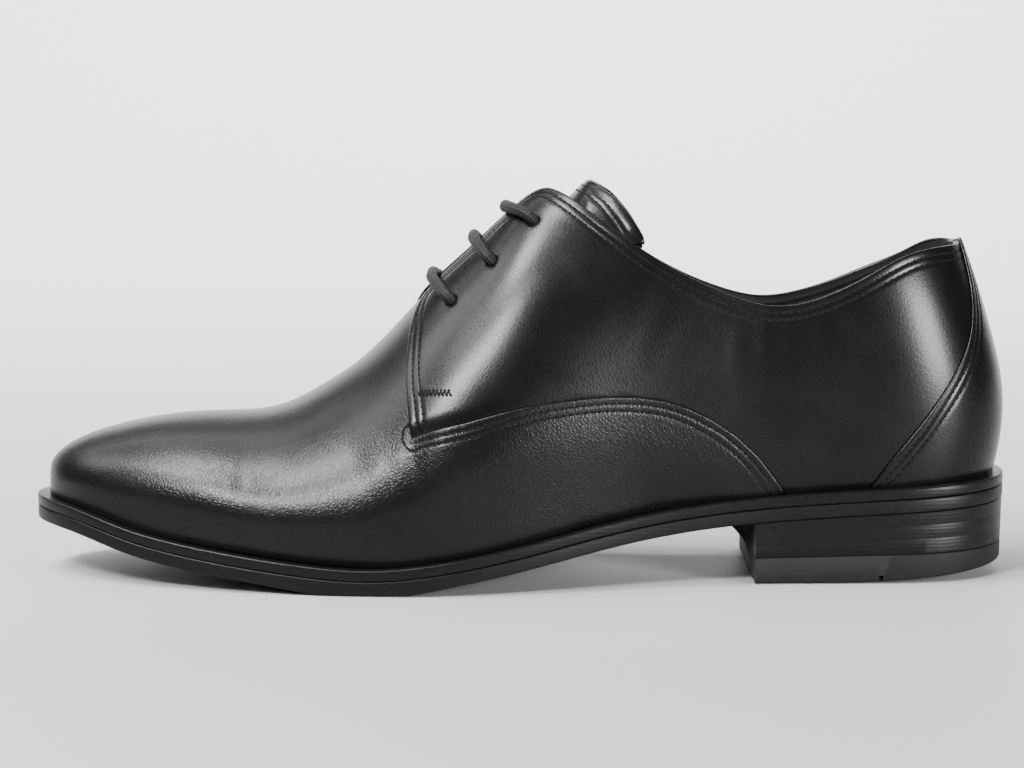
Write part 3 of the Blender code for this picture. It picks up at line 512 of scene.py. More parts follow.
def counter_front(points):
    """How far each point lies ahead of the counter's front edge."""
    ups = np.clip(points[:, 2] / back_top(), 0.22, 1.05)
    return x_at(curve(COUNTER_EDGE, "up", "along", ups)) - points[:, 0]


def counter_stops(side, count=14):
    ups = np.linspace(0.285, 1.005, count)
    places = np.stack([x_at(curve(COUNTER_EDGE, "up", "along", ups)), ups * back_top()], axis=1)
    return FORM.find(places, [0, 2], side)


def patch(low, high, left, right, u, v):
    """(t, s) all over a patch with four edges, each sampled at the shares u or v."""
    u, v = u[:, None, None], v[None, :, None]
    across = (1 - v) * low[:, None] + v * high[:, None]
    upward = (1 - u) * left[None] + u * right[None]
    corners = (1 - u) * ((1 - v) * low[0] + v * high[0]) + u * ((1 - v) * low[-1] + v * high[-1])
    return across + upward - corners


def band(a, b, count):
    """The faces between two rings of points that start at a and at b."""
    return [(a + k, a + (k + 1) % count, b + (k + 1) % count, b + k) for k in range(count)]


def grid_faces(rows, columns, start=0):
    i, j = np.meshgrid(np.arange(rows - 1), np.arange(columns - 1), indexing="ij")
    a = (start + i * columns + j).ravel()
    return np.stack([a, a + columns, a + columns + 1, a + 1], axis=1)


# Meshes.


def select_only(obj):
    bpy.ops.object.select_all(action="DESELECT")
    obj.select_set(True)
    bpy.context.view_layer.objects.active = obj


def link(name, points, faces, keep=True, angle=40.0):
    """A smooth-shaded object from points in millimetres about the last's middle line."""
    mesh = bpy.data.meshes.new(name)
    placed = (np.asarray(points, float) + (0.0, MIDDLE_LINE, 0.0)) * MM
    mesh.from_pydata(placed.tolist(), [], [tuple(int(a) for a in f) for f in faces])
    mesh.validate()
    made = bpy.data.objects.new(name, mesh)
    bpy.context.scene.collection.objects.link(made)
    select_only(made)
    if angle:
        bpy.ops.object.shade_smooth_by_angle(angle=math.radians(angle))
    else:
        bpy.ops.object.shade_smooth()
    if keep:
        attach(made, "root")
    return made


def weld(ts, faces):
    """Joins grid points that lie in one place, and drops faces that close up."""
    points = on_form(ts)
    keys = np.round(points * WELD_CELLS).astype(np.int64)
    _, first, index = np.unique(keys, axis=0, return_index=True, return_inverse=True)
    faces = index.reshape(-1)[faces]
    kept = []
    for face in faces:
        corners = [a for k, a in enumerate(face) if a != face[k - 1]]
        if len(set(corners)) == len(corners) >= 3:
            kept.append(corners)
    return ts[first], kept


def punch(ts, faces, centres, radius):
    """Cuts round holes: the faces inside go, and the points left beside them move to the rim."""
    points = on_form(ts)
    for centre in centres:
        far = np.linalg.norm(points - centre, axis=1)
        gone = [i for i, f in enumerate(faces) if far[f].mean() < radius * 1.12]
        rim = set(a for i in gone for a in faces[i])
        faces = [f for i, f in enumerate(faces) if i not in set(gone)]
        used = set(a for f in faces for a in f)
        rim = np.array(sorted(rim & used))
        arms = points[rim] - centre
        moves = arms * (radius / np.linalg.norm(arms, axis=1, keepdims=True) - 1)
        ts[rim] = FORM.shift(ts[rim], moves)
        points = on_form(ts)
    return ts, faces


def sheet(name, ts, faces, top, base, edge=0.5, lined=False):
    """Leather over part of the form: a face and a back at depths, joined by a rounded edge."""
    points, out = above_form(ts)
    quads = [list(f) for f in faces]
    way = 0.0
    for f in quads[:: max(1, len(quads) // 400)]:
        normal = np.cross(points[f[1]] - points[f[0]], points[f[2]] - points[f[0]])
        way += float(normal @ out[f[0]])
    if way < 0:
        quads = [f[::-1] for f in quads]
    sides = {}
    for f in quads:
        for a, b in zip(f, f[1:] + f[:1]):
            sides[(a, b)] = sides.get((a, b), 0) + 1
    rim = [(a, b) for a, b in sides if (b, a) not in sides]
    ring = sorted(set(a for pair in rim for a in pair))
    place = {a: k for k, a in enumerate(ring)}
    outward = np.zeros((len(ring), 3))
    for a, b in rim:
        step = points[b] - points[a]
        step /= max(np.linalg.norm(step), 1e-9)
        for end in (a, b):
            outward[place[end]] += np.cross(step, out[end])
    outward = unit(outward)
    ids = np.array(ring)
    thick = (top - base)[ids]
    turn = np.minimum(edge, 0.5 * thick)
    skins = [points + out * top[:, None]]
    for lean in (25, 50, 75, 90):
        a = math.radians(lean)
        depth = top[ids] - turn * (1 - math.cos(a))
        skins.append(points[ids] + outward * (turn * math.sin(a))[:, None] + out[ids] * depth[:, None])
    for lean in (90, 60, 30):
        a = math.radians(lean)
        depth = base[ids] + turn * (1 - math.cos(a))
        skins.append(points[ids] + outward * (turn * math.sin(a))[:, None] + out[ids] * depth[:, None])
    skins.append(points + out * base[:, None])
    starts = np.cumsum([0] + [len(s) for s in skins])
    made = [tuple(f) for f in quads]
    for a, b in rim:
        level = [(a, b)] + [(starts[k] + place[a], starts[k] + place[b]) for k in range(1, len(skins) - 1)]
        level.append((starts[-2] + a, starts[-2] + b))
        for (p, q), (r, w) in zip(level, level[1:]):
            made.append((q, p, r, w))
    front = len(made)
    made += [tuple(int(starts[-2]) + a for a in reversed(f)) for f in quads]
    obj = link(name, np.concatenate(skins), made, angle=60)
    if lined:
        obj["lining_from"] = front
    return obj


def strand(line, radius, sides=CORD_SIDES):
    """A round cord along a line, with domed ends."""
    line = np.asarray(line, float)
    ways = unit(np.gradient(line, axis=0))
    across = np.cross(ways[0], [1.0, 0.3, 0.2])
    radii = np.full(len(line), radius)
    head, tail = line[0] - ways[0] * radius * 0.5, line[-1] + ways[-1] * radius * 0.5
    line, ways = np.vstack([head, line, tail]), np.vstack([ways[0], ways, ways[-1]])
    radii = np.concatenate([[0.55 * radius], radii, [0.55 * radius]])
    points = []
    for way, centre, wide in zip(ways, line, radii):
        across = across - way * (across @ way)
        across /= np.linalg.norm(across)
        other = np.cross(way, across)
        for k in range(sides):
            a = 2 * math.pi * k / sides
            points.append(centre + wide * (across * math.cos(a) + other * math.sin(a)))
    faces = [f for i in range(len(line) - 1) for f in band(i * sides, (i + 1) * sides, sides)]
    faces += [tuple(range(sides - 1, -1, -1)), tuple((len(line) - 1) * sides + k for k in range(sides))]
    return points, faces


# How deep each leather's face lies.


def nearest(points, line):
    """Distance from each point to a dense line of points."""
    found = np.full(len(points), 1e9)
    for k in range(0, len(points), 4000):
        gap = points[k : k + 4000, None] - line[None]
        found[k : k + 4000] = np.sqrt((gap * gap).sum(axis=2).min(axis=1))
    return found


def dense(stops, count=500):
    line = trace(stops, np.linspace(0, 1, count))
    return on_form(line)


def rows_sunk(far, rows, depth=0.16, width=0.55):
    """The troughs that rows of stitches pull into the leather, at distances from an edge."""
    return -sum(depth * np.exp(-(((far - row) / width) ** 2)) for row in rows)


# How far the leathers' faces stand off the form, how thick they are and how round their edges.
FACING_LIFT = 1.35
WING_LIFT = 1.35
PANEL = 1.25
QUARTER_ROUND = 0.62
COUNTER_LIFT = 1.15
COUNTER_BASE = 0.04
TONGUE_THICKNESS = 2.4
TONGUE_ROUND = 1.1
TONGUE_BEAD = 0.25
TONGUE_SINK = 0.22
VAMP_END = 0.4185
VAMP_NARROWING = 0.16

# Where rows of stitches run, as distances from a panel's edge.
FACING_ROWS = (1.9, 4.1)
WING_ROWS = (1.7, 3.9)
COUNTER_ROWS = (1.7, 3.9)
TONGUE_ROWS = (2.6, 4.8)

# The bar tack at the facing's foot and the stitches round the slit: x and z, turns in degrees.
TACK = (-30.2, 58.6)
TACK_LENGTH = 9.6
SLIT = (-31.6, 46.6)
TACK_TURNS = 17
TACK_SLOPE = 0.04
TACK_WIDTH = 0.45
TACK_LIFT = 0.12
TACK_STITCH = 1.35
SLIT_RADII = (3.6, 3.9)
SLIT_TURN = (68, 268)
SLIT_STITCHES = 15
SLIT_LIFT = 0.1
SLIT_STITCH = 0.85
LOOP_INSIDE = 0.12
RAMP_START = 0.388
RAMP_LENGTH = 46.0

# Distances into a panel from its edge, and the mesh's step at each.
VAMP_STEPS = ((0, 5.5, 8, 60), (0.55, 0.55, 1.3, 1.5))
TOPLINE_STEPS = ((0, 5.5, 7, 55, 62), (0.55, 0.55, 0.85, 0.85, 1.4))
FACING_STEPS = ((0, 5.5, 7, 17, 22), (0.5, 0.5, 0.8, 0.8, 1.4))
COUNTER_STEPS = ((0, 5.5, 9), (0.5, 0.5, 1.3))
TONGUE_STEPS = ((0, 8, 11), (0.6, 0.6, 1.5))
WING_HEIGHT = 46.0
TONGUE_RUN = 78.0

# Creases of wear, as soft troughs from one place on the outer side to another, x and z in
# millimetres, with how deep and how wide they are.
CREASES = (
    (66.0, 79.0, 64.0, 62.0, 0.07, 2.4),
    (74.0, 80.0, 73.0, 66.0, 0.07, 2.0),
    (82.0, 80.0, 83.0, 64.0, 0.09, 2.4),
    (91.0, 82.0, 93.0, 70.0, 0.06, 2.4),
    (-34.0, 45.0, -29.0, 30.0, 0.16, 2.8),
    (-27.0, 44.0, -22.0, 27.0, 0.12, 2.8),
    (-40.0, 47.0, -38.0, 33.0, 0.10, 2.8),
    (-52.0, 50.0, -47.0, 28.0, 0.09, 3.8),
    (-84.0, 44.0, -84.0, 22.0, 0.09, 1.9),
    (44.0, 88.0, 35.0, 70.0, 0.05, 3.4),
    (52.0, 82.0, 45.0, 64.0, 0.04, 3.2),
    (12.0, 96.0, 22.0, 84.0, 0.08, 2.8),
)


def crease_depth(points):
    """The troughs at each point, the same on both sides but softer on the inner one."""
    flat = points[:, [0, 2]]
    deep = np.zeros(len(points))
    side = np.where(points[:, 1] < 0, 1.0, 0.5)
    for x0, z0, x1, z1, depth, wide in CREASES:
        start, way = np.array([x0, z0]), np.array([x1 - x0, z1 - z0])
        share = np.clip((flat - start) @ way / (way @ way), 0, 1)
        far = np.linalg.norm(flat - start - share[:, None] * way, axis=1)
        taper = np.sin(math.pi * np.clip(0.12 + 0.76 * share, 0, 1))
        ridge = 0.35 * np.exp(-(((far - 1.7 * wide) / wide) ** 2))
        deep += depth * taper * (np.exp(-((far / wide) ** 2)) - ridge)
    return -deep * side * smooth(np.abs(points[:, 1]) / 14)


def facing_lift(points):
    """How far the facing stands proud of the vamp under its front edge."""
    x, z, across = points[:, 0], points[:, 2], np.abs(points[:, 1])
    ramp = 1 - smooth((x - float(x_at(RAMP_START))) / RAMP_LENGTH)
    slit = smooth((z - seam_height(along_at(x)) + 0.5) / 5.0)
    corner = 0.9 * np.exp(-(((x - 10) / 12) ** 2)) * (1 - smooth((across - 8) / 22))
    return LOOP_INSIDE + (FACING_LIFT - LOOP_INSIDE) * ramp * slit + corner


def behind_loop(points):
    return smooth((points[:, 0] - float(x_at(LOOP_ALONG))) / 10.0)


def vamp_depth(points, seams):
    """The vamp's face: level ahead, lifted along the wings' edges, tucked under the facings."""
    x, z = points[:, 0], points[:, 2]
    far = nearest(points, seams)
    behind = behind_loop(points)
    above = z - seam_height(along_at(x))
    below = 1 - smooth((above - 0.15) / 0.8)
    lift = WING_LIFT * behind * below * (1 - smooth((far - 9) / 24))
    tuck = -0.8 * smooth((x - float(x_at(0.392))) / 6.0) * (1 - below)
    rows = rows_sunk(far, WING_ROWS) * below * smooth((x - float(x_at(LOOP_ALONG)) + 3) / 4)
    return lift + tuck + rows + crease_depth(points)


def quarter_depth(points, line):
    x, z = points[:, 0], points[:, 2]
    below = seam_height(along_at(x)) - z
    sink = smooth((below + 0.2) / 1.4) * (0.35 + 1.3 * (1 - behind_loop(points)))
    sink *= 1 - smooth((x - float(x_at(0.79))) / 6.0)
    rows = rows_sunk(nearest(points, line), FACING_ROWS) * (1 - smooth(below / 2))
    return facing_lift(points) * (1 - 0.9 * smooth((below + 0.2) / 1.4)) - sink + rows + crease_depth(points)


def quarter_edges(side):
    """The four edges of a quarter: low, high, front and back."""
    facing = facing_stops(side)
    hidden = wing_stops(side, drop=8.0, first=0.397, last=0.745)
    t_back = np.linspace(float(FORM.t_at(0.775)), 1.0, 8)
    low = np.concatenate([hidden, np.stack([t_back, np.full(8, float(side))], axis=1)])
    high = np.concatenate([throat_stops(side), topline_stops(side)])
    front = np.concatenate([low[:1], facing])
    back = np.stack([np.ones(12), np.linspace(side, high[-1, 1], 12)], axis=1)
    return low, high, front, back


def visible_edge(side):
    """The quarter's edge that shows: up the facing, round its corner and along the topline."""
    high = np.concatenate([throat_stops(side), topline_stops(side)])
    return np.concatenate([facing_stops(side)[:-1], high])


def spaced(length, places, steps):
    """Shares along a length, with the step between them read from a short table."""
    stops = [0.0]
    while stops[-1] < length:
        stops.append(stops[-1] + float(np.interp(stops[-1], places, steps)))
    return np.array(stops) / stops[-1]


def columns_from(low, high, shares):
    return low[:, None] + (high - low)[:, None] * shares[None]


def make_vamp():
    """The vamp and its two wings, in one piece of leather."""
    start = float(FORM.t_at(LOOP_ALONG))
    wings = {side: wing_stops(side) for side in (-1, 1)}
    seams = np.concatenate([dense(wings[side], 400) for side in (-1, 1)])
    v = 1 - spaced(WING_HEIGHT, *VAMP_STEPS)[::-1]
    outer, inner = wings[-1][0, 1], wings[1][0, 1]
    middle = np.linspace(outer, inner, 84)
    ends = np.concatenate([-1 + (outer + 1) * v, middle[1:-1], inner + (1 - inner) * (1 - v[::-1])])
    even = 0.5 * (np.abs(ends) + np.abs(ends[::-1])) * np.sign(ends - 0.5 * (ends + ends[::-1]) + 1e-12)
    rows = np.linspace(0, start, 132)
    mix = smooth(rows / start)[:, None]
    body_s = even[None] * (1 - mix) + ends[None] * mix
    body = np.stack([rows[:, None] * np.ones_like(body_s), body_s], axis=2)
    parts = [body]
    back_rows = np.linspace(start, wings[-1][-1, 0], 92)
    for side in (-1, 1):
        top = np.interp(back_rows, wings[side][:, 0], wings[side][:, 1])
        low = np.full(len(back_rows), float(side))
        top[0] = wings[side][0, 1]
        wing_s = columns_from(low, top, v)
        wing = np.stack([back_rows[:, None] * np.ones_like(wing_s), wing_s], axis=2)
        parts.append(wing if side < 0 else wing[:, ::-1])
    tongue_rows = np.linspace(start, float(FORM.t_at(VAMP_END)), 14)
    narrow = 1 - VAMP_NARROWING * smooth((tongue_rows - start) / (tongue_rows[-1] - start) * 1.6)
    centre_s = middle[None] * narrow[:, None]
    parts.append(np.stack([tongue_rows[:, None] * np.ones_like(centre_s), centre_s], axis=2))
    ts, faces = [], []
    for part in parts:
        faces.append(grid_faces(part.shape[0], part.shape[1], sum(len(t) for t in ts)))
        ts.append(part.reshape(-1, 2))
    ts, faces = weld(np.concatenate(ts), np.concatenate(faces))
    points = on_form(ts)
    top = vamp_depth(points, seams)
    return sheet("vamp", ts, faces, top, top - PANEL)


def eyelet_centres(side):
    return on_form(plan_stops(EYELETS, side))


def quarter_base(points, top):
    """The inner face: close to the vamp at the facing's front, full thickness further back."""
    return top - PANEL - 0.8 * smooth((points[:, 0] - 10) / 40)


def make_quarter(side):
    low, high, front, back = quarter_edges(side)
    u = spaced(line_length(high), *TOPLINE_STEPS)
    v = 1 - spaced(line_length(front), *FACING_STEPS)[::-1]
    grid = patch(trace(low, u), trace(high, u), trace(front, v), trace(back, v), u, v)
    faces = grid_faces(len(u), len(v))
    ts, faces = weld(grid.reshape(-1, 2), faces)
    ts, faces = punch(ts, faces, eyelet_centres(side), EYELET_DIAMETER / 2)
    points = on_form(ts)
    top = quarter_depth(points, dense(visible_edge(side), 900))
    name = "quarter_outer" if side < 0 else "quarter_inner"
    return sheet(name, ts, faces, top, quarter_base(points, top), edge=QUARTER_ROUND, lined=True)


def across_the_back(stops):
    """Stops of the inner side, told from the outer side's end of the fold."""
    return np.stack([2 - stops[:, 0], -stops[:, 1]], axis=1)


def counter_edges():
    lines = {}
    for side in (-1, 1):
        stops = counter_stops(side)[:-1]
        along = float(curve(COUNTER_EDGE, "up", "along", 0.985))
        top = topline_stop(along, side)
        lines[side] = np.concatenate([[[stops[0, 0], float(side)]], stops[1:], [top]])
    outer, inner = lines[-1], across_the_back(lines[1])
    low = np.stack([np.linspace(outer[0, 0], inner[0, 0], 9), np.full(9, -1.0)], axis=1)
    high = [outer[-1], height_stop(1.0, back_top() * BACK_PEAK, -1), inner[-1]]
    return low, np.array(high), outer, inner


def counter_depth(points, line):
    return COUNTER_LIFT + rows_sunk(nearest(points, line), COUNTER_ROWS)


def make_counter():
    low, high, outer, inner = counter_edges()
    u = spaced(line_length(low) / 2, *COUNTER_STEPS) / 2
    u = np.concatenate([u, 1 - u[-2::-1]])
    v = np.linspace(0, 1, 62)
    grid = patch(trace(low, u), trace(high, u), trace(outer, v), trace(inner, v), u, v)
    ts, faces = weld(grid.reshape(-1, 2), grid_faces(len(u), len(v)))
    points = on_form(ts)
    edges = np.concatenate([dense(outer, 300), dense(inner, 300)])
    top = counter_depth(points, edges)
    return sheet("heel_counter", ts, faces, top, np.full(len(top), COUNTER_BASE))


def tongue_depth(along):
    sink = smooth((along - TONGUE_FRONT_ALONG - 0.003) / 0.035) * (1 - smooth((along - 0.534) / 0.035))
    return -(WALL + 2 * CLEARANCE + (CORD + CLEARANCE) * sink)


def tongue_reach(along, side):
    """How far the tongue reaches round the form, as a share of that half of the section."""
    reach = [0.36 * TONGUE_WIDTH, 0.58 * TONGUE_WIDTH]
    wide = np.interp(along, [TONGUE_FRONT_ALONG, TONGUE_TIP_ALONG], reach)
    lengths = FORM.lengths[:, 0 if side < 0 else 1]
    half = np.interp(FORM.t_at(along), np.linspace(0, 1, len(lengths)), lengths)
    return side * wide / half


def tongue_point(along, share):
    """A point of the tongue's face, at a share of its reach to either side."""
    s = np.where(share < 0, tongue_reach(along, -1), tongue_reach(along, 1)) * np.abs(share)
    point, out = FORM.at(FORM.t_at(along), s)
    return point + out * tongue_depth(along)[..., None], s


def tongue_top(shares):
    """How far along each strip of the tongue runs before its shaped end."""
    tip = tongue_point(np.array([TONGUE_TIP_ALONG]), np.array([0.0]))[0][0]
    tries = np.linspace(0.52, 0.66, 281)
    ends = []
    for share in shares:
        points = tongue_point(tries, np.full(len(tries), share))[0]
        down = np.clip((tip[2] - points[:, 2]) / TONGUE_SIDE_SWEEP, 0, TONGUE_TOP["down"][-1])
        edge = tip[0] + TONGUE_SIDE_SWEEP * np.interp(down, TONGUE_TOP["down"], TONGUE_TOP["back"])
        past = np.nonzero(points[:, 0] > edge)[0]
        ends.append(tries[past[0]] if len(past) else tries[-1])
    ends = np.array(ends)
    for _ in range(3):
        ends[1:-1] = 0.25 * ends[:-2] + 0.5 * ends[1:-1] + 0.25 * ends[2:]
    return ends


def make_tongue():
    shares = np.linspace(-1, 1, 61)
    ends = tongue_top(shares)
    run = 1 - spaced(TONGUE_RUN, *TONGUE_STEPS)[::-1]
    alongs = TONGUE_FRONT_ALONG + (ends - TONGUE_FRONT_ALONG)[None] * run[:, None]
    _, s = tongue_point(alongs, np.broadcast_to(shares, alongs.shape))
    ts = np.stack([FORM.t_at(alongs), s], axis=2).reshape(-1, 2)
    faces = [list(f) for f in grid_faces(len(run), len(shares))]
    points = on_form(ts)
    edge = tongue_edge()
    far = nearest(points, on_form(edge))
    top = tongue_depth(along_at(points[:, 0])) + rows_sunk(far, TONGUE_ROWS, TONGUE_SINK)
    top += TONGUE_BEAD * np.exp(-(((far - 0.5) / 1.6) ** 2))
    base = top - TONGUE_THICKNESS
    return sheet("tongue_leather", ts, faces, top, base, edge=TONGUE_ROUND, lined=True), edge


def tongue_edge():
    shares = np.linspace(-0.86, 0.86, 241)
    ends = np.interp(shares, np.linspace(-1, 1, 61), tongue_top(np.linspace(-1, 1, 61)))
    _, s = tongue_point(ends, shares)
    return np.stack([FORM.t_at(ends), s], axis=1)


# Stitches.


def offset_line(edge, distance, centre, count=1600):
    """A line that runs beside an edge, at a distance into the panel."""
    line = trace(edge, np.linspace(0, 1, count)) if len(edge) < count else edge
    points, out = above_form(line)
    way = np.gradient(points, axis=0)
    into = unit(np.cross(out, way))
    if np.sum((centre - points) * into) < 0:
        into = -into
    return FORM.shift(line, into * distance)


def stitch_run(line, depth_of, pitch=2.25, skip=(0.0, 0.0)):
    """Where the stitches of one row go: their middles, ways and outward directions."""
    points, out = above_form(line)
    points = points + out * depth_of(points)[:, None]
    run = path_length(points)
    count = int((run[-1] - skip[0] - skip[1]) / pitch)
    places = skip[0] + (np.arange(count) + 0.5) * (run[-1] - skip[0] - skip[1]) / max(count, 1)
    middles, ways, outs = (read_at(places, run, a) for a in (points, np.gradient(points, axis=0), out))
    return middles, unit(ways), outs


# A stitch's rings: place as a share of its length, width as a share of its radius, and rise.
STITCH_RINGS = (
    (-0.50, 0.35, -0.36), (-0.34, 0.90, -0.08), (0.0, 1.0, 0.0), (0.34, 0.90, -0.08), (0.50, 0.35, -0.36),
)


def stitch_mesh(runs, length=1.85, radius=0.28, sides=6):
    """Rounded stitches lying in the leather, and the places of the dark discs between them, which paint the
    shade in the needle holes.
    """
    points, faces, holes = [], [], []
    for middles, ways, outs in runs:
        for middle, way, out in zip(middles, ways, outs):
            across = np.cross(way, out)
            base = len(points)
            for place, wide, rise in STITCH_RINGS:
                for a in range(sides):
                    turn = 2 * math.pi * a / sides
                    ring = across * math.cos(turn) + out * 0.85 * math.sin(turn)
                    points.append(middle + way * place * length + out * rise + ring * radius * wide)
            for r in range(len(STITCH_RINGS) - 1):
                faces += band(base + r * sides, base + (r + 1) * sides, sides)
            faces.append(tuple(base + a for a in reversed(range(sides))))
            faces.append(tuple(base + (len(STITCH_RINGS) - 1) * sides + a for a in range(sides)))
            holes.append((middle + way * 0.6 * length, way, out))
    return points, faces, holes


# Dark discs at the needle holes, a little proud of the leather: painted shade, not cut holes.
def hole_shade_mesh(holes, radius=0.52, sides=7):
    points, faces = [], []
    for middle, way, out in holes:
        across = np.cross(way, out)
        base = len(points)
        for height, wide in ((0.06, 1.0), (-0.25, 0.8)):
            for a in range(sides):
                turn = 2 * math.pi * a / sides
                ring = across * 0.8 * math.cos(turn) + way * math.sin(turn)
                points.append(middle + out * height + ring * radius * wide)
        faces.append(tuple(base + a for a in range(sides)))
        faces.append(tuple(base + sides + a for a in reversed(range(sides))))
        for a in range(sides):
            b = (a + 1) % sides
            faces.append((base + b, base + a, base + sides + a, base + sides + b))
    return points, faces


def quarter_runs(side):
    line = dense(visible_edge(side), 900)
    centre = FORM.raw(np.array(0.6), np.array(side * 0.62))
    runs = []
    for row in FACING_ROWS:
        path = offset_line(visible_edge(side), row, centre)
        path = path[counter_front(on_form(path)) > 0.4]
        runs.append(stitch_run(path, lambda p: quarter_depth(p, line), skip=(1.5, 0.5)))
    return runs


def bar_tack(side):
    """A short zigzag across the foot of the facing, which takes the strain of the laces."""
    line = dense(visible_edge(side), 900)
    places = [
        (TACK[0] + TACK_LENGTH * k / TACK_TURNS, TACK[1] + TACK_SLOPE * k + TACK_WIDTH * (-1) ** k)
        for k in range(TACK_TURNS + 1)
    ]
    stops = FORM.find(places, [0, 2], side)
    points, out = above_form(stops)
    points = points + out * (quarter_depth(points, line) + TACK_LIFT)[:, None]
    return 0.5 * (points[:-1] + points[1:]), unit(np.diff(points, axis=0)), out[:-1]


def slit_ring(side):
    """The close stitches round the end of the slit that the facing comes out of."""
    turns = np.radians(np.linspace(*SLIT_TURN, SLIT_STITCHES))
    places = np.stack(
        [SLIT[0] + SLIT_RADII[0] * np.cos(turns), SLIT[1] + SLIT_RADII[1] * np.sin(turns)], axis=1
    )
    stops = FORM.find(places, [0, 2], side)
    points, out = above_form(stops)
    seams = dense(wing_stops(side), 600)
    middles = points + out * (vamp_depth(points, seams) + SLIT_LIFT)[:, None]
    return middles, unit(np.gradient(points, axis=0)), out


def wing_runs(side):
    edge = wing_stops(side)
    seams = dense(edge, 600)
    centre = FORM.raw(np.array(0.55), np.array(side * 0.97))
    runs = []
    for row in WING_ROWS:
        path, skip = offset_line(edge, row, centre), (2.0 + row, 4.0 + 2 * row)
        runs.append(stitch_run(path, lambda p: vamp_depth(p, seams), skip=skip))
    return runs


def counter_runs():
    _, _, outer, inner = counter_edges()
    edges = np.concatenate([dense(outer, 300), dense(inner, 300)])
    centre = FORM.raw(np.array(1.0), np.array(-0.7))
    runs = []
    for edge in (outer, inner):
        for row in COUNTER_ROWS:
            path = offset_line(edge, row, centre)
            points = on_form(path)
            side = -1 if edge is outer else 1
            below = points[:, 2] < topline_height(along_at(points[:, 0]), side) - 3.0
            kept = below & (points[:, 1] * side > 1.2)
            top = len(kept) if kept.all() else np.argmin(kept)
            runs.append(stitch_run(path[:top], lambda p: counter_depth(p, edges), skip=(2.0, 0.5)))
    return runs


def tongue_runs(edge):
    line = on_form(edge)
    centre = FORM.raw(FORM.t_at(0.5), np.array(0.0))

    def depth(points):
        return tongue_depth(along_at(points[:, 0])) + rows_sunk(nearest(points, line), TONGUE_ROWS, TONGUE_SINK)

    paths = [offset_line(edge, row, centre, count=2) for row in TONGUE_ROWS]
    return [stitch_run(path, depth, skip=(0.5, 0.5)) for path in paths]


# Laces.


def surface_point(along, across, depth=0.0):
    """A point over the form at a place in plan, and the direction out of it there."""
    side = -1 if across < 0 else 1
    found = FORM.find([(float(x_at(along)), across)], [0, 1], side)
    point, out = above_form(found)
    return point[0] + out[0] * depth, out[0]


def over_facing(along, across, depth):
    """A point above, or below, the facing's own surface."""
    base, out = surface_point(along, across)
    lift = float(facing_lift(base[None])[0])
    return base + out * (depth + lift if depth > 0 else depth)


def lace_corners():
    """The lace's middle: three bars on top, and hidden runs under one facing at a time."""
    over = CORD / 2 + CORD_LIFT
    under = -(WALL + CORD / 2 + CLEARANCE)
    edge = LACING_GAP / 2 + CLEARANCE
    path = []
    places = list(zip(EYELETS["along"], EYELETS["across"], EYELETS["drift"]))
    for k, (along, share, drift) in enumerate(places):
        first = -share * BALL_WIDTH if k % 2 == 0 else share * BALL_WIDTH
        stops = [part * abs(first) for part in (1.0, 0.8, 0.6)] + [edge]
        stops = [stop * math.copysign(1, first) for stop in stops + [-stop for stop in reversed(stops)]]
        depth = under if k else 0.75 * under
        path.append((over_facing(along, first, depth), k > 0))
        for i, stop in enumerate(stops):
            ahead = drift * (1 - (stop / first) ** 2) / SOLE_LENGTH
            path.append((over_facing(along - ahead, stop, over), i in (0, len(stops) - 1)))
        depth = under if k < len(places) - 1 else 0.75 * under
        path.append((over_facing(along, -first, depth), k < len(places) - 1))
    return path


def rounded_path(corners, radius, turns=9):
    """A line through corners, each marked one turned into an arc."""
    line = [np.array(corners[0][0])]
    for (a, _), (b, turned), (c, _) in zip(corners, corners[1:], corners[2:]):
        if not turned:
            line.append(np.array(b))
            continue
        before, after = a - b, c - b
        reach_in, reach_out = np.linalg.norm(before), np.linalg.norm(after)
        before, after = before / reach_in, after / reach_out
        angle = math.acos(float(np.clip(before @ after, -1, 1)))
        cut = min(radius / math.tan(angle / 2), 0.49 * reach_in, 0.49 * reach_out)
        middle = (before + after) / np.linalg.norm(before + after)
        centre = b + middle * math.hypot(cut, cut * math.tan(angle / 2))
        start, end = b + before * cut - centre, b + after * cut - centre
        spin = math.acos(float(np.clip(start @ end / (start @ start), -1, 1)))
        for k in range(turns + 1):
            t = k / turns
            arm = math.sin((1 - t) * spin) * start + math.sin(t * spin) * end
            line.append(centre + arm / math.sin(spin))
    line.append(np.array(corners[-1][0]))
    return np.array(line)


def even_line(line, step):
    run = path_length(line)
    places = np.linspace(0, run[-1], int(run[-1] / step) + 1)
    return read_at(places, run, line)


def make_lace():
    line = even_line(rounded_path(lace_corners(), CORD / 2 + CLEARANCE), CORD_STEP)
    for _ in range(2):
        line[1:-1] = 0.25 * line[:-2] + 0.5 * line[1:-1] + 0.25 * line[2:]
    points, faces = strand(line, CORD / 2)
    made = link("lace_cord", points, faces, angle=0)
    run = path_length(np.vstack([line[0], line, line[-1]]))
    wrap = made.data.uv_layers.new(name="wrap")
    for polygon in made.data.polygons:
        corners = [made.data.loops[i].vertex_index for i in polygon.loop_indices]
        closing = {c % CORD_SIDES for c in corners} == {0, CORD_SIDES - 1}
        for i, c in zip(polygon.loop_indices, corners):
            turn = CORD_SIDES if closing and c % CORD_SIDES == 0 else c % CORD_SIDES
            wrap.data[i].uv = (run[c // CORD_SIDES] / 10, turn / CORD_SIDES)
    return made


# The sole and the heel.


def spread(count):
    return (1 - np.cos(np.linspace(0, math.pi, count))) / 2


def outline(places, inset, height):
    """Points along the sole's outer side and back along its inner one, inset, with heights from a
    function of along."""
    outer, inner = half_width(places, "outer", inset), half_width(places, "inner", inset)
    x, z = x_at(places), height(places) * np.ones(len(places))
    near = np.stack([x, -outer, z], axis=1)
    far = np.stack([x, inner, z], axis=1)[-2::-1]
    return np.concatenate([near, far])


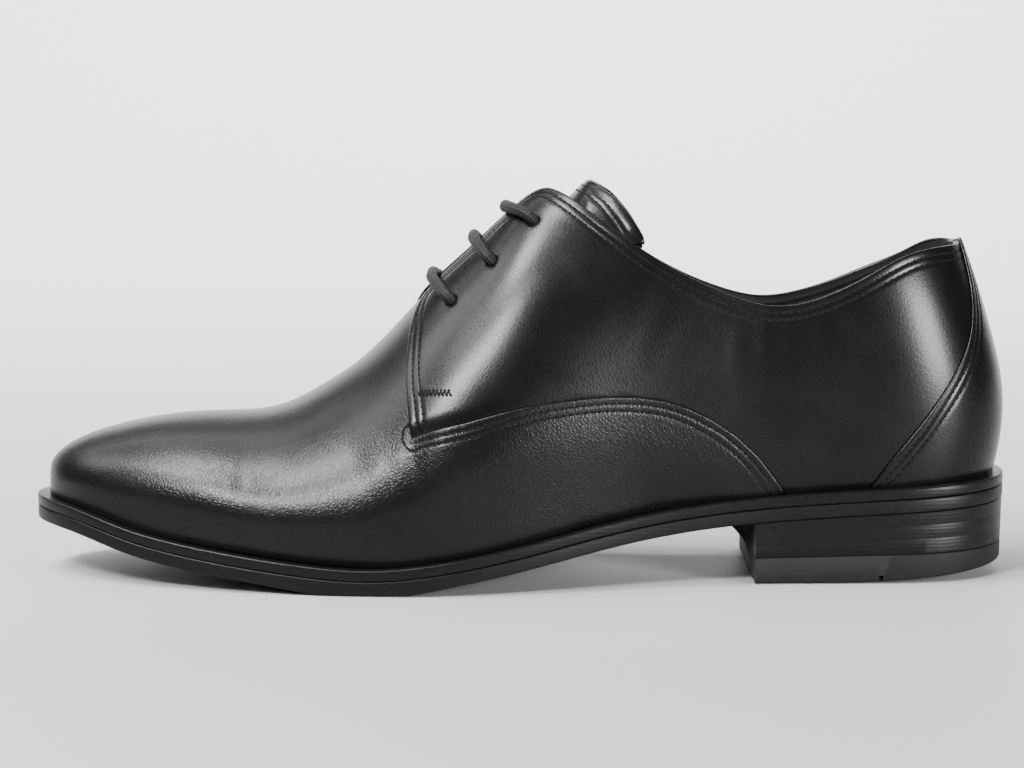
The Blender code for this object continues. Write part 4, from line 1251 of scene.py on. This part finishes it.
def sole_ring(inset, height, stations=150):
    """The whole outline, with one point at the toe."""
    places = inset / SOLE_LENGTH + (1 - 2 * inset / SOLE_LENGTH) * spread(stations)
    return outline(places, inset, height)[:-1]


def stack_rings(rings, capped=True):
    """A body through closed rings, from the lowest outwards and up. Without caps, the last ring
    joins the first, which makes a body with a hole through it."""
    count = len(rings[0])
    points, faces = np.concatenate(rings), []
    for r in range(len(rings) - 1 if capped else len(rings)):
        faces += band(r * count, (r + 1) % len(rings) * count, count)
    if capped:
        half = count // 2
        for base, up in ((0, False), ((len(rings) - 1) * count, True)):
            caps = [(base, base + 1, base + count - 1), (base + half - 1, base + half, base + half + 1)]
            for k in range(1, half - 1):
                caps.append((base + k, base + k + 1, base + count - k - 1, base + count - k))
            faces += caps if up else [tuple(reversed(cap)) for cap in caps]
    return points, faces


def turned_edge(low, high, inset, bevel, steps=4):
    """Insets and lifts of the rings that round a sole edge at its foot and at its top."""
    found = []
    for k in range(steps + 1):
        a = math.pi / 2 * k / steps
        found.append((inset + bevel * (1 - math.sin(a)), low, bevel * (1 - math.cos(a))))
    for k in range(steps + 1):
        a = math.pi / 2 * k / steps
        found.append((inset + bevel * (1 - math.cos(a)), high, -bevel * (1 - math.sin(a))))
    return found


def edge_rings(edge, stations=150):
    return [sole_ring(inset, lambda a: height(a) + lift, stations) for inset, height, lift in edge]


def tread(along):
    under = sole_under(along)
    return np.maximum(under - SOLE_FLAT_DEPTH * (1 - smooth(under / 3.0)), 0.0)


def make_outsole():
    edge = turned_edge(tread, outsole_top, 0.0, EDGE_BEVEL)
    points, faces = stack_rings([sole_ring(TREAD_INSET, tread)] + edge_rings(edge))
    return link("outsole_edge", points, faces, angle=50)


def make_welt():
    def low(along):
        return outsole_top(along) + LAYER_GAP

    edge = turned_edge(low, feather_height, 0.0, EDGE_BEVEL)
    rings = [sole_ring(WELT_WIDTH, low)] + edge_rings(edge) + [sole_ring(WELT_WIDTH, feather_height)]
    points, faces = stack_rings(rings, capped=False)
    return link("welt_strip", points, faces, angle=50)


def make_insole():
    inset = 1.05 * WELT_REVEAL + WALL + 2 * CLEARANCE

    def low(along):
        return feather_height(along) + CLEARANCE

    edge = turned_edge(low, lambda a: low(a) + INSOLE_THICKNESS, inset, INSOLE_BEVEL)
    points, faces = stack_rings(edge_rings(edge, 110))
    return link("insole_board", points, faces, angle=50)


def lift_top(along):
    share = (along - (1 - HEEL_LENGTH / SOLE_LENGTH)) / (HEEL_LENGTH / SOLE_LENGTH)
    return TOP_LIFT_FRONT + (TOP_LIFT_BACK - TOP_LIFT_FRONT) * share


def lift_under(along):
    """The top lift's underside: flat at the front, then rolling up to the back."""
    start = 1 - (HEEL_LENGTH - HEEL_FLAT) / SOLE_LENGTH
    return HEEL_ROLL * np.clip((along - start) / (1 - start), 0, 1) ** 1.6


def breast_cutter():
    """What is cut away ahead of the heel: upright at its sides, scooped under the arch between."""
    breast = SOLE_LENGTH / 2 - HEEL_LENGTH
    top = float(sole_under(along_at(breast))) - CLEARANCE
    wide = 1.2 * float(half_width(along_at(breast), "outer"))
    across = np.concatenate([[-BALL_WIDTH], np.linspace(-wide, wide, 61), [BALL_WIDTH]])
    turns = np.linspace(0, 1, 18) * math.pi / 2 * SCOOP_SHARE
    heights = np.concatenate([[-TOP_LIFT_FRONT], top * np.sin(turns), [4 * top]])
    points = []
    for z in heights:
        share = min(max(z / top, 0.0), math.sin(math.pi / 2 * SCOOP_SHARE))
        scoop = BREAST_SCOOP * (1 - math.sqrt(1 - share**2))
        for y in across:
            inward = float(half_width(along_at(breast), "outer" if y < 0 else "inner")) - abs(y)
            points.append((breast - scoop * float(smooth((inward - 1.5) / BREAST_INSET)), y, z))
    count, rows = len(across), len(heights)
    front = [(-SOLE_LENGTH * 0.2, y, z) for _, y, z in points]
    offset = rows * count
    faces = [tuple(f) for f in grid_faces(rows, count)]
    faces += [tuple(reversed(tuple(f))) for f in grid_faces(rows, count, offset)]
    rim = [i * count for i in range(rows)] + [(rows - 1) * count + j for j in range(1, count)]
    rim += [i * count + count - 1 for i in range(rows - 2, -1, -1)] + list(range(count - 2, 0, -1))
    faces += [(a, b, b + offset, a + offset) for a, b in zip(rim, rim[1:] + rim[:1])]
    return link("breast_cutter", points + front, faces, keep=False)


def groove_cutter():
    middle = SOLE_LENGTH / 2 - LIFT_GROOVE_BACK
    half = LIFT_GROOVE_WIDTH / 2
    top = float(lift_under(along_at(middle))) + LIFT_GROOVE_DEPTH
    bpy.ops.object.select_all(action="DESELECT")
    bpy.ops.mesh.primitive_cube_add(
        size=1,
        location=(middle * MM, MIDDLE_LINE * MM, 0),
        scale=(2 * half * MM, 2 * HEEL_WIDTH * MM, 2 * top * MM),
    )
    cutter = bpy.context.active_object
    cutter.name = "groove_cutter"
    bpy.ops.object.transform_apply(location=True, rotation=True, scale=True)
    return cutter


def heel_ring(inset, height, stations=70):
    """The back part of a closed outline, ending ahead of the breast."""
    start = 1 - (HEEL_LENGTH + 2 * BREAST_SCOOP) / SOLE_LENGTH
    end = 1 - inset / SOLE_LENGTH
    return outline(start + (end - start) * np.sin(np.linspace(0, math.pi / 2, stations)), inset, height)


def stack_heel(name, rings, cutters):
    count = len(rings[0])
    points, faces = np.concatenate(rings), []
    for r in range(len(rings) - 1):
        faces += band(r * count, (r + 1) * count, count)
    half = count // 2
    for base, up in ((0, False), ((len(rings) - 1) * count, True)):
        caps = [(base + k, base + k + 1, base + count - k - 2, base + count - k - 1) for k in range(half - 1)]
        caps.append((base + half - 1, base + half, base + half + 1))
        faces += caps if up else [tuple(reversed(cap)) for cap in caps]
    made = link(name, points, faces)
    for cutter in cutters:
        for solid in (made, cutter):
            turn_outwards(solid)
        cut = made.modifiers.new("cut", "BOOLEAN")
        cut.operation, cut.solver, cut.object = "DIFFERENCE", "EXACT", cutter
        select_only(made)
        bpy.ops.object.modifier_apply(modifier=cut.name)
        bpy.data.objects.remove(cutter)
    select_only(made)
    bpy.ops.object.shade_smooth_by_angle(angle=math.radians(40))
    return made


def turn_outwards(obj):
    select_only(obj)
    bpy.ops.object.mode_set(mode="EDIT")
    bpy.ops.mesh.select_all(action="SELECT")
    bpy.ops.mesh.remove_doubles(threshold=1e-6)
    bpy.ops.mesh.normals_make_consistent(inside=False)
    bpy.ops.object.mode_set(mode="OBJECT")


LAYER_LINES = (0.36, 0.68)
LAYER_GROOVE = ((-0.3, 0.0), (-0.1, 0.04), (0.1, 0.04), (0.3, 0.0))
HEEL_TOP_INSET = 0.2
HEEL_BEVEL = 0.25
HEEL_BEVEL_INSET = 0.2

# Insets and rises of the rings that round the top lift's foot.
LIFT_FOOT = ((0.9, 0.0), (0.35, 0.25), (0.1, 0.8))


def make_heel_stack():
    def low(along):
        return lift_top(along) + LAYER_GAP

    def high(along):
        return sole_under(along) - LAYER_GAP

    rings = [
        heel_ring(HEEL_TAPER + HEEL_BEVEL_INSET, low),
        heel_ring(HEEL_TAPER, lambda a: low(a) + HEEL_BEVEL),
    ]
    for share in LAYER_LINES:
        inset = HEEL_TAPER + (HEEL_TOP_INSET - HEEL_TAPER) * share
        for step, dip in LAYER_GROOVE:
            rings.append(heel_ring(inset + dip, lambda a: low(a) + share * (high(a) - low(a)) + step))
    rings.append(heel_ring(HEEL_TOP_INSET, lambda a: high(a) - HEEL_BEVEL))
    rings.append(heel_ring(HEEL_TOP_INSET + HEEL_BEVEL_INSET, high))
    return stack_heel("heel_layers", rings, [breast_cutter()])


def make_heel_lift():
    rings = [heel_ring(HEEL_TAPER + inset, lambda a: lift_under(a) + rise) for inset, rise in LIFT_FOOT]
    rings.append(heel_ring(HEEL_TAPER, lambda a: lift_top(a) - HEEL_BEVEL))
    rings.append(heel_ring(HEEL_TAPER + HEEL_BEVEL_INSET, lift_top))
    return stack_heel("top_lift", rings, [breast_cutter(), groove_cutter()])


# Finishes.


class Value:
    """A number that changes over a surface: sums written with it become nodes."""

    def __init__(self, finish, socket):
        self.finish, self.socket = finish, socket

    def maths(self, operation, *numbers):
        values = {i: number for i, number in enumerate(numbers)}
        return self.finish.node("ShaderNodeMath", {"operation": operation}, values)

    def __add__(self, other):
        return self.maths("ADD", self, other)

    def __sub__(self, other):
        return self.maths("SUBTRACT", self, other)

    def __mul__(self, other):
        return self.maths("MULTIPLY", self, other)

    def __rsub__(self, other):
        return self.maths("SUBTRACT", other, self)

    def __pow__(self, other):
        return self.maths("POWER", self, other)

    __radd__, __rmul__ = __add__, __mul__

    def sine(self):
        return self.maths("SINE", self)

    def between(self, low, high):
        """0 below low, 1 above high, and smooth between."""
        settings = {"interpolation_type": "SMOOTHSTEP"}
        return self.finish.node("ShaderNodeMapRange", settings, {0: self, 1: low, 2: high, 3: 0.0, 4: 1.0})


class Finish:
    """A material with one glossy shader, and the nodes that feed it."""

    def __init__(self, name, **plain):
        self.material = bpy.data.materials.new(name)
        self.material.use_nodes = True
        self.tree = self.material.node_tree
        self.shader = self.tree.nodes["Principled BSDF"]
        self.feed_all(self.shader, {k.replace("_", " "): v for k, v in plain.items()})

    def feed_all(self, node, values):
        for key, value in values.items():
            if isinstance(value, Value):
                self.tree.links.new(value.socket, node.inputs[key])
            else:
                node.inputs[key].default_value = value

    def node(self, kind, settings, values, out=0):
        node = self.tree.nodes.new(kind)
        for key, value in settings.items():
            setattr(node, key, value)
        self.feed_all(node, values)
        return Value(self, node.outputs[out])

    def spot(self):
        return self.node("ShaderNodeTexCoord", {}, {}, out="Object")

    def part(self, axis):
        return self.node("ShaderNodeSeparateXYZ", {}, {0: self.spot()}, out=axis)

    def noise(self, size, detail=3.0, rough=0.55, twist=0.0):
        """Noise from 0 to 1, with features of about a size in metres."""
        values = {"Scale": 1 / size, "Detail": detail, "Roughness": rough, "Distortion": twist}
        return self.node("ShaderNodeTexNoise", {}, {"Vector": self.spot(), **values})

    def pebbles(self, size):
        """The rounded cells of a grain, 0 in the furrows and higher on the pebbles."""
        values = {"Vector": self.spot(), "Scale": 0.5 / size, "Detail": 2.0}
        stir = self.node("ShaderNodeTexNoise", {}, values, out=1)
        pull = self.node("ShaderNodeVectorMath", {"operation": "SCALE"}, {0: stir, "Scale": 1.3 * size})
        moved = self.node("ShaderNodeVectorMath", {"operation": "ADD"}, {0: self.spot(), 1: pull})
        settings = {"feature": "DISTANCE_TO_EDGE"}
        cells = self.node("ShaderNodeTexVoronoi", settings, {"Vector": moved, "Scale": 1 / size})
        return cells.between(0.0, 0.28)

    def mix(self, share, first, second):
        settings = {"data_type": "RGBA"}
        colours = {0: share, 6: (*first, 1) if len(first) == 3 else first, 7: (*second, 1)}
        return self.node("ShaderNodeMix", settings, colours, out=2)

    def bump(self, height, metres):
        values = {"Strength": 1.0, "Distance": metres, "Height": height}
        self.feed_all(self.shader, {"Normal": self.node("ShaderNodeBump", {}, values)})

    def feed(self, **values):
        self.feed_all(self.shader, {k.replace("_", " "): v for k, v in values.items()})


def shade(colour, share):
    return tuple(share * c for c in colour)


def calf(name, black, grain, pore, gloss):
    """Black calf: pebbles under a thin glaze, with faint brushing and a worn sheen."""
    leather = Finish(name, Coat_Weight=0.03, Coat_Roughness=0.2, Specular_IOR_Level=0.17)
    pebbles = leather.pebbles(0.00115)
    fine = leather.noise(0.00034, 2.0)
    broad = leather.noise(0.018, 3.0)
    cloud = leather.noise(0.006, 2.0)
    height = pebbles * grain + fine * pore + cloud * 0.35
    leather.bump(height, 0.00003)
    leather.feed(Roughness=gloss + broad * 0.07 + cloud * 0.04 - pebbles * 0.03)
    tint = leather.mix(broad.between(0.3, 0.75), black, shade(black, 1.5))
    leather.feed(Base_Color=tint)
    return leather.material


# Shine, grain, roughness, patches, where they begin and end, and their shade.
MOTTLED = {
    "lining leather": (0.35, (0.0007, 4.0), 0.62, (0.02, 3.0), (0.3, 0.7), 1.35),
    "insole leather": (0.3, (0.0006, 3.0), 0.55, (0.03, 4.0), (0.3, 0.75), 0.7),
}


def mottled(name, colour):
    """Dull leather: a fine grain, and patches of a second shade."""
    specular, grain, rough, patches, limits, share = MOTTLED[name]
    leather = Finish(name, Specular_IOR_Level=specular)
    fine, broad = leather.noise(*grain), leather.noise(*patches)
    leather.bump(fine, 0.00006)
    leather.feed(Roughness=rough + fine * 0.15)
    leather.feed(Base_Color=leather.mix(broad.between(*limits), colour, shade(colour, share)))
    return leather.material


def thread_finish(colour):
    thread = Finish("waxed thread", Specular_IOR_Level=0.1)
    fibre = thread.noise(0.00022, 2.0, twist=1.0)
    thread.bump(fibre, 0.00005)
    thread.feed(Roughness=0.6 + fibre * 0.2)
    thread.feed(Base_Color=thread.mix(fibre.between(0.3, 0.7), colour, shade(colour, 2.0)))
    return thread.material


# A near-black, dull finish for the discs at the needle holes: painted shade, with a faint speckle through it.
def pit_shade_finish():
    pit = Finish("needle hole shade", Specular_IOR_Level=0.1)
    shade_speckle = pit.noise(0.0004)
    pit.feed(Roughness=0.9, Base_Color=pit.mix(shade_speckle, (0.001, 0.001, 0.001), (0.003, 0.003, 0.003)))
    return pit.material


def cord_finish(colour):
    """Round waxed cord: slanting strands that cross, with a dull shine, and painted shade in the grooves
    between them.
    """
    cord = Finish("waxed cord", Specular_IOR_Level=0.22)
    wrap = cord.node("ShaderNodeUVMap", {"uv_map": "wrap"}, {})
    along, around = (cord.node("ShaderNodeSeparateXYZ", {}, {0: wrap}, out=axis) for axis in (0, 1))
    turns, tight = 6 * 2 * math.pi, 2 * math.pi * 8.5
    first = (around * turns + along * tight).sine()
    second = (around * turns - along * tight).sine()
    fibre = cord.noise(0.0003, 2.0)
    weave = first * second * 0.5 + 0.5
    cord.bump(weave * 1.0 + fibre * 0.3, 0.00022)
    cord.feed(Roughness=0.6 - weave * 0.1 + fibre * 0.1)
    # The colour follows the weave's height: darker in the grooves between strands, which is painted shade, and
    # lighter on the strands' crowns, which is painted light.
    tint = cord.mix(weave.between(0.1, 0.9), shade(colour, 0.4), shade(colour, 1.5))
    cord.feed(Base_Color=tint)
    return cord.material


def edge_finish(name, colour, gloss):
    """The dyed and waxed edge of sole leather, with its faint layers."""
    edge = Finish(name, Specular_IOR_Level=0.13)
    height = edge.part("Z")
    wave = edge.noise(0.02, 2.0)
    layers = (height * (2 * math.pi / 0.0011) + wave * 5.0).sine()
    fibre = edge.noise(0.0008, 4.0, twist=0.6)
    patch_of = edge.noise(0.012, 3.0)
    edge.bump(layers * 0.12 + fibre * 0.5 + patch_of * 0.4, 0.00007)
    edge.feed(Roughness=gloss + fibre * 0.14 + patch_of * 0.08)
    edge.feed(Base_Color=edge.mix(fibre.between(0.35, 0.75), colour, shade(colour, 1.8)))
    return edge.material


def rubber_finish(colour):
    rubber = Finish("lift rubber", Specular_IOR_Level=0.22)
    speck = rubber.noise(0.0005, 3.0)
    scuff = rubber.noise(0.009, 3.0)
    rubber.bump(speck * 0.6 + scuff * 0.5, 0.00008)
    rubber.feed(Roughness=0.55 + speck * 0.15)
    rubber.feed(Base_Color=rubber.mix(scuff.between(0.35, 0.7), colour, shade(colour, 1.5)))
    return rubber.material


def floor_finish(colour):
    floor = Finish("pale floor", Specular_IOR_Level=0.3)
    cloud = floor.noise(0.4, 2.0)
    floor.feed(Roughness=0.55)
    floor.feed(Base_Color=floor.mix(cloud, colour, shade(colour, 0.985)))
    return floor.material


THREAD_BLACK = (0.0028, 0.0028, 0.003)
RUBBER_BLACK = (0.0030, 0.0026, 0.0025)


# The add-on.


def colour_setting(name, description, default):
    return bpy.props.FloatVectorProperty(
        name=name, description=description, subtype="COLOR", size=3, default=default, min=0, max=1
    )


class ShoeLooks(bpy.types.PropertyGroup):
    black: colour_setting("Calf", "Colour of the upper leather", (0.0022, 0.0023, 0.0021))
    edge: colour_setting("Sole edge", "Colour of the dyed sole edges", (0.003, 0.0027, 0.0026))
    lining: colour_setting("Lining", "Colour of the lining leather", (0.007, 0.0066, 0.0064))
    insole: colour_setting("Insole", "Colour of the insole leather", (0.05, 0.04, 0.034))
    floor: colour_setting("Floor", "Colour of the floor", (0.32, 0.32, 0.322))
    gloss: bpy.props.FloatProperty(
        name="Roughness", description="Roughness of the upper leather", default=0.235, min=0.05, max=1,
    )
    stitch: bpy.props.FloatProperty(
        name="Stitch", description="Length of one stitch on show", default=0.00185, min=0.001, max=0.004,
        unit="LENGTH", precision=5,
    )


def looks():
    return bpy.context.scene.shoe_looks


def finish_of(name, make, *values):
    """The material of this name, made once."""
    found = bpy.data.materials.get(name)
    return found or make(*values)


def smooth_calf():
    name = "smooth calf"
    return finish_of(name, calf, name, tuple(looks().black), 0.35, 0.4, looks().gloss)


def grained_calf():
    name = "grained calf"
    return finish_of(name, calf, name, tuple(looks().black), 1.0, 0.5, looks().gloss + 0.03)


def lining():
    return finish_of("lining leather", mottled, "lining leather", tuple(looks().lining))


def dyed_edge(name, gloss):
    return finish_of(name, edge_finish, name, tuple(looks().edge), gloss)


def dress(obj, *finishes):
    obj.data.materials.clear()
    for finish in finishes:
        obj.data.materials.append(finish)


def dress_lined(obj, outside, inside):
    """The inside material goes on the faces from the back of the sheet."""
    dress(obj, outside, inside)
    first = obj["lining_from"]
    obj.data.polygons.foreach_set(
        "material_index", [0 if i < first else 1 for i in range(len(obj.data.polygons))]
    )


def add_stitches(name, runs, length=None):
    points, faces, holes = stitch_mesh(runs, length=length or looks().stitch / MM)
    stitches = link(name, points, faces, angle=0)
    dress(stitches, finish_of("waxed thread", thread_finish, THREAD_BLACK))
    # Dark discs at the needle holes: painted shade.
    points, faces = hole_shade_mesh(holes)
    hole_shade_discs = link(name + "_holes", points, faces, angle=30)
    dress(hole_shade_discs, finish_of("needle hole shade", pit_shade_finish))


class SHOE_OT_vamp(bpy.types.Operator):
    """Make the vamp with its two wings"""

    bl_idname = "shoe.vamp"
    bl_label = "Vamp"

    def execute(self, context):
        vamp = make_vamp()
        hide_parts("upper")
        dress(vamp, grained_calf())
        add_stitches("wing_stitches", wing_runs(-1) + wing_runs(1))
        return {"FINISHED"}


class SHOE_OT_quarters(bpy.types.Operator):
    """Make both quarters with their facings, eyelets and topline"""

    bl_idname = "shoe.quarters"
    bl_label = "Quarters"

    def execute(self, context):
        for side in (-1, 1):
            quarter = make_quarter(side)
            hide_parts("upper")
            dress_lined(quarter, smooth_calf(), lining())
        add_stitches("quarter_stitches", quarter_runs(-1) + quarter_runs(1))
        add_stitches("bar_tacks", [bar_tack(-1), bar_tack(1)], length=TACK_STITCH)
        add_stitches("slit_stitches", [slit_ring(-1), slit_ring(1)], length=SLIT_STITCH)
        return {"FINISHED"}


class SHOE_OT_counter(bpy.types.Operator):
    """Make the leather over the back of the heel"""

    bl_idname = "shoe.counter"
    bl_label = "Counter"

    def execute(self, context):
        counter = make_counter()
        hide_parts("counter")
        dress(counter, smooth_calf())
        add_stitches("counter_stitches", counter_runs())
        return {"FINISHED"}


class SHOE_OT_tongue(bpy.types.Operator):
    """Make the tongue with its stitched top edge"""

    bl_idname = "shoe.tongue"
    bl_label = "Tongue"

    def execute(self, context):
        tongue, edge = make_tongue()
        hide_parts("tongue")
        dress_lined(tongue, smooth_calf(), lining())
        add_stitches("tongue_stitches", tongue_runs(edge))
        return {"FINISHED"}


class SHOE_OT_lace(bpy.types.Operator):
    """Make the lace with its three bars"""

    bl_idname = "shoe.lace"
    bl_label = "Lace"

    def execute(self, context):
        lace = make_lace()
        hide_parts("lace")
        dress(lace, finish_of("waxed cord", cord_finish, THREAD_BLACK))
        return {"FINISHED"}


class SHOE_OT_sole(bpy.types.Operator):
    """Make the outsole, the welt and the insole"""

    bl_idname = "shoe.sole"
    bl_label = "Sole"

    def execute(self, context):
        board = finish_of("insole leather", mottled, "insole leather", tuple(looks().insole))
        for make, node, slot, finish in (
            (make_outsole, "outsole", "sole_leather", dyed_edge("sole edge", 0.3)),
            (make_welt, "welt", "sole_leather", dyed_edge("welt edge", 0.24)),
            (make_insole, "insole", "insole_leather", board),
        ):
            piece = make()
            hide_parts(node)
            dress(piece, finish)
        return {"FINISHED"}


class SHOE_OT_heel(bpy.types.Operator):
    """Make the stacked heel and its top lift"""

    bl_idname = "shoe.heel"
    bl_label = "Heel"

    def execute(self, context):
        rubber = finish_of("lift rubber", rubber_finish, RUBBER_BLACK)
        for make, node, slot, finish in (
            (make_heel_stack, "heel_stack", "sole_leather", dyed_edge("heel edge", 0.27)),
            (make_heel_lift, "heel_top_lift", "top_lift_rubber", rubber),
        ):
            piece = make()
            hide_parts(node)
            dress(piece, finish)
        return {"FINISHED"}


FLOOR_LEVEL = -0.0004
FLOOR_REACH = 4.0
BEND_START = 1.3
BEND_RADIUS = 0.9
WALL_TOP = (2.2, 1.0)
ROOM_COLOUR = (0.97, 0.975, 1.0, 1)
ROOM_STRENGTH = 0.05
CAMERA_PLACE = (-0.0025, -0.900, 0.168)
CAMERA_TILT = 82.97
CAMERA_LENS = 101.64
WARM = (1.0, 0.95, 0.965)

# Name, place, target, width, height, power and colour of each studio lamp, in metres and watts.
LAMPS = (
    ("toe_box", (-0.59, -0.79, 0.93), (-0.08, 0.0, 0.04), 0.30, 0.30, 37.0, WARM),
    ("vamp_box", (-0.62, -0.29, 1.19), (-0.08, 0.0, 0.04), 0.30, 0.30, 27.0, WARM),
    ("crown_box", (-0.39, 0.01, 1.30), (-0.08, 0.0, 0.04), 0.30, 0.30, 17.0, WARM),
    ("side_box", (-1.00, 0.13, 0.95), (-0.02, 0.0, 0.07), 0.50, 0.50, 8.0, WARM),
    ("heel_box", (1.00, -0.92, 0.30), (0.12, -0.03, 0.06), 0.42, 0.42, 43.0, (1.0, 0.945, 0.955)),
    ("top_box", (0.0, 0.45, 1.6), (0.0, 0.0, 0.0), 1.6, 0.9, 9.0, (0.97, 0.99, 1.0)),
    ("wall_wash", (0.0, 0.9, 1.3), (0.0, 2.2, 0.25), 3.0, 0.4, 300.0, (1.0, 1.0, 1.0)),
)


def make_floor():
    """A pale floor that turns up into a wall far behind the shoe."""
    section = [(-FLOOR_REACH, FLOOR_LEVEL), (BEND_START, FLOOR_LEVEL)]
    for turn in np.linspace(0.05, math.pi / 2, 14):
        rise = BEND_RADIUS + FLOOR_LEVEL - BEND_RADIUS * math.cos(turn)
        section.append((BEND_START + BEND_RADIUS * math.sin(turn), rise))
    section.append(WALL_TOP)
    sides = (-FLOOR_REACH, FLOOR_REACH)
    points = [(x / MM, y / MM - MIDDLE_LINE, z / MM) for y, z in section for x in sides]
    faces = [(2 * k, 2 * k + 1, 2 * k + 3, 2 * k + 2) for k in range(len(section) - 1)]
    return link("floor", points, faces, keep=False, angle=0)


class SHOE_OT_stage(bpy.types.Operator):
    """Make the floor, the lamps and the camera"""

    bl_idname = "shoe.stage"
    bl_label = "Stage"

    def execute(self, context):
        floor = make_floor()
        dress(floor, finish_of("pale floor", floor_finish, tuple(looks().floor)))
        for name, place, target, wide, high, power, colour in LAMPS:
            lamp = bpy.data.lights.new(name, "AREA")
            lamp.shape, lamp.size, lamp.size_y = "RECTANGLE", wide, high
            lamp.energy, lamp.color = power, colour
            holder = bpy.data.objects.new(name, lamp)
            holder.location = place
            holder.rotation_euler = (Vector(target) - Vector(place)).to_track_quat("-Z", "Y").to_euler()
            holder.visible_camera = False
            bpy.context.scene.collection.objects.link(holder)
        room = bpy.data.worlds.new("room")
        room.use_nodes = True
        air = room.node_tree.nodes["Background"].inputs
        air["Color"].default_value, air["Strength"].default_value = ROOM_COLOUR, ROOM_STRENGTH
        bpy.context.scene.world = room
        view = bpy.data.cameras.new("photo_view")
        view.sensor_width, view.lens = 36, CAMERA_LENS
        camera = bpy.data.objects.new("photo_view", view)
        x, y, z = CAMERA_PLACE
        camera.location = (x, y + MIDDLE_LINE * MM, z)
        camera.rotation_euler = (math.radians(CAMERA_TILT), 0, 0)
        bpy.context.scene.collection.objects.link(camera)
        bpy.context.scene.camera = camera
        return {"FINISHED"}


class SHOE_PT_panel(bpy.types.Panel):
    """The shoe's colours and the operators that make its pieces"""

    bl_idname = "SHOE_PT_panel"
    bl_label = "Dress shoe"
    bl_space_type = "VIEW_3D"
    bl_region_type = "UI"
    bl_category = "Shoe"

    def draw(self, context):
        for name in ShoeLooks.__annotations__:
            self.layout.prop(context.scene.shoe_looks, name)
        for operator in OPERATORS:
            self.layout.operator(operator.bl_idname)


OPERATORS = (
    SHOE_OT_vamp, SHOE_OT_quarters, SHOE_OT_counter, SHOE_OT_tongue, SHOE_OT_lace,
    SHOE_OT_sole, SHOE_OT_heel, SHOE_OT_stage,
)


def register():
    for kind in (ShoeLooks, *OPERATORS, SHOE_PT_panel):
        bpy.utils.register_class(kind)
    bpy.types.Scene.shoe_looks = bpy.props.PointerProperty(type=ShoeLooks)


def unregister():
    del bpy.types.Scene.shoe_looks
    for kind in reversed((ShoeLooks, *OPERATORS, SHOE_PT_panel)):
        bpy.utils.unregister_class(kind)


def main():
    register()
    for operator in (
        bpy.ops.shoe.vamp, bpy.ops.shoe.quarters, bpy.ops.shoe.counter, bpy.ops.shoe.tongue,
        bpy.ops.shoe.lace, bpy.ops.shoe.sole, bpy.ops.shoe.heel, bpy.ops.shoe.stage,
    ):
        operator()


if __name__ == "__main__":
    main()
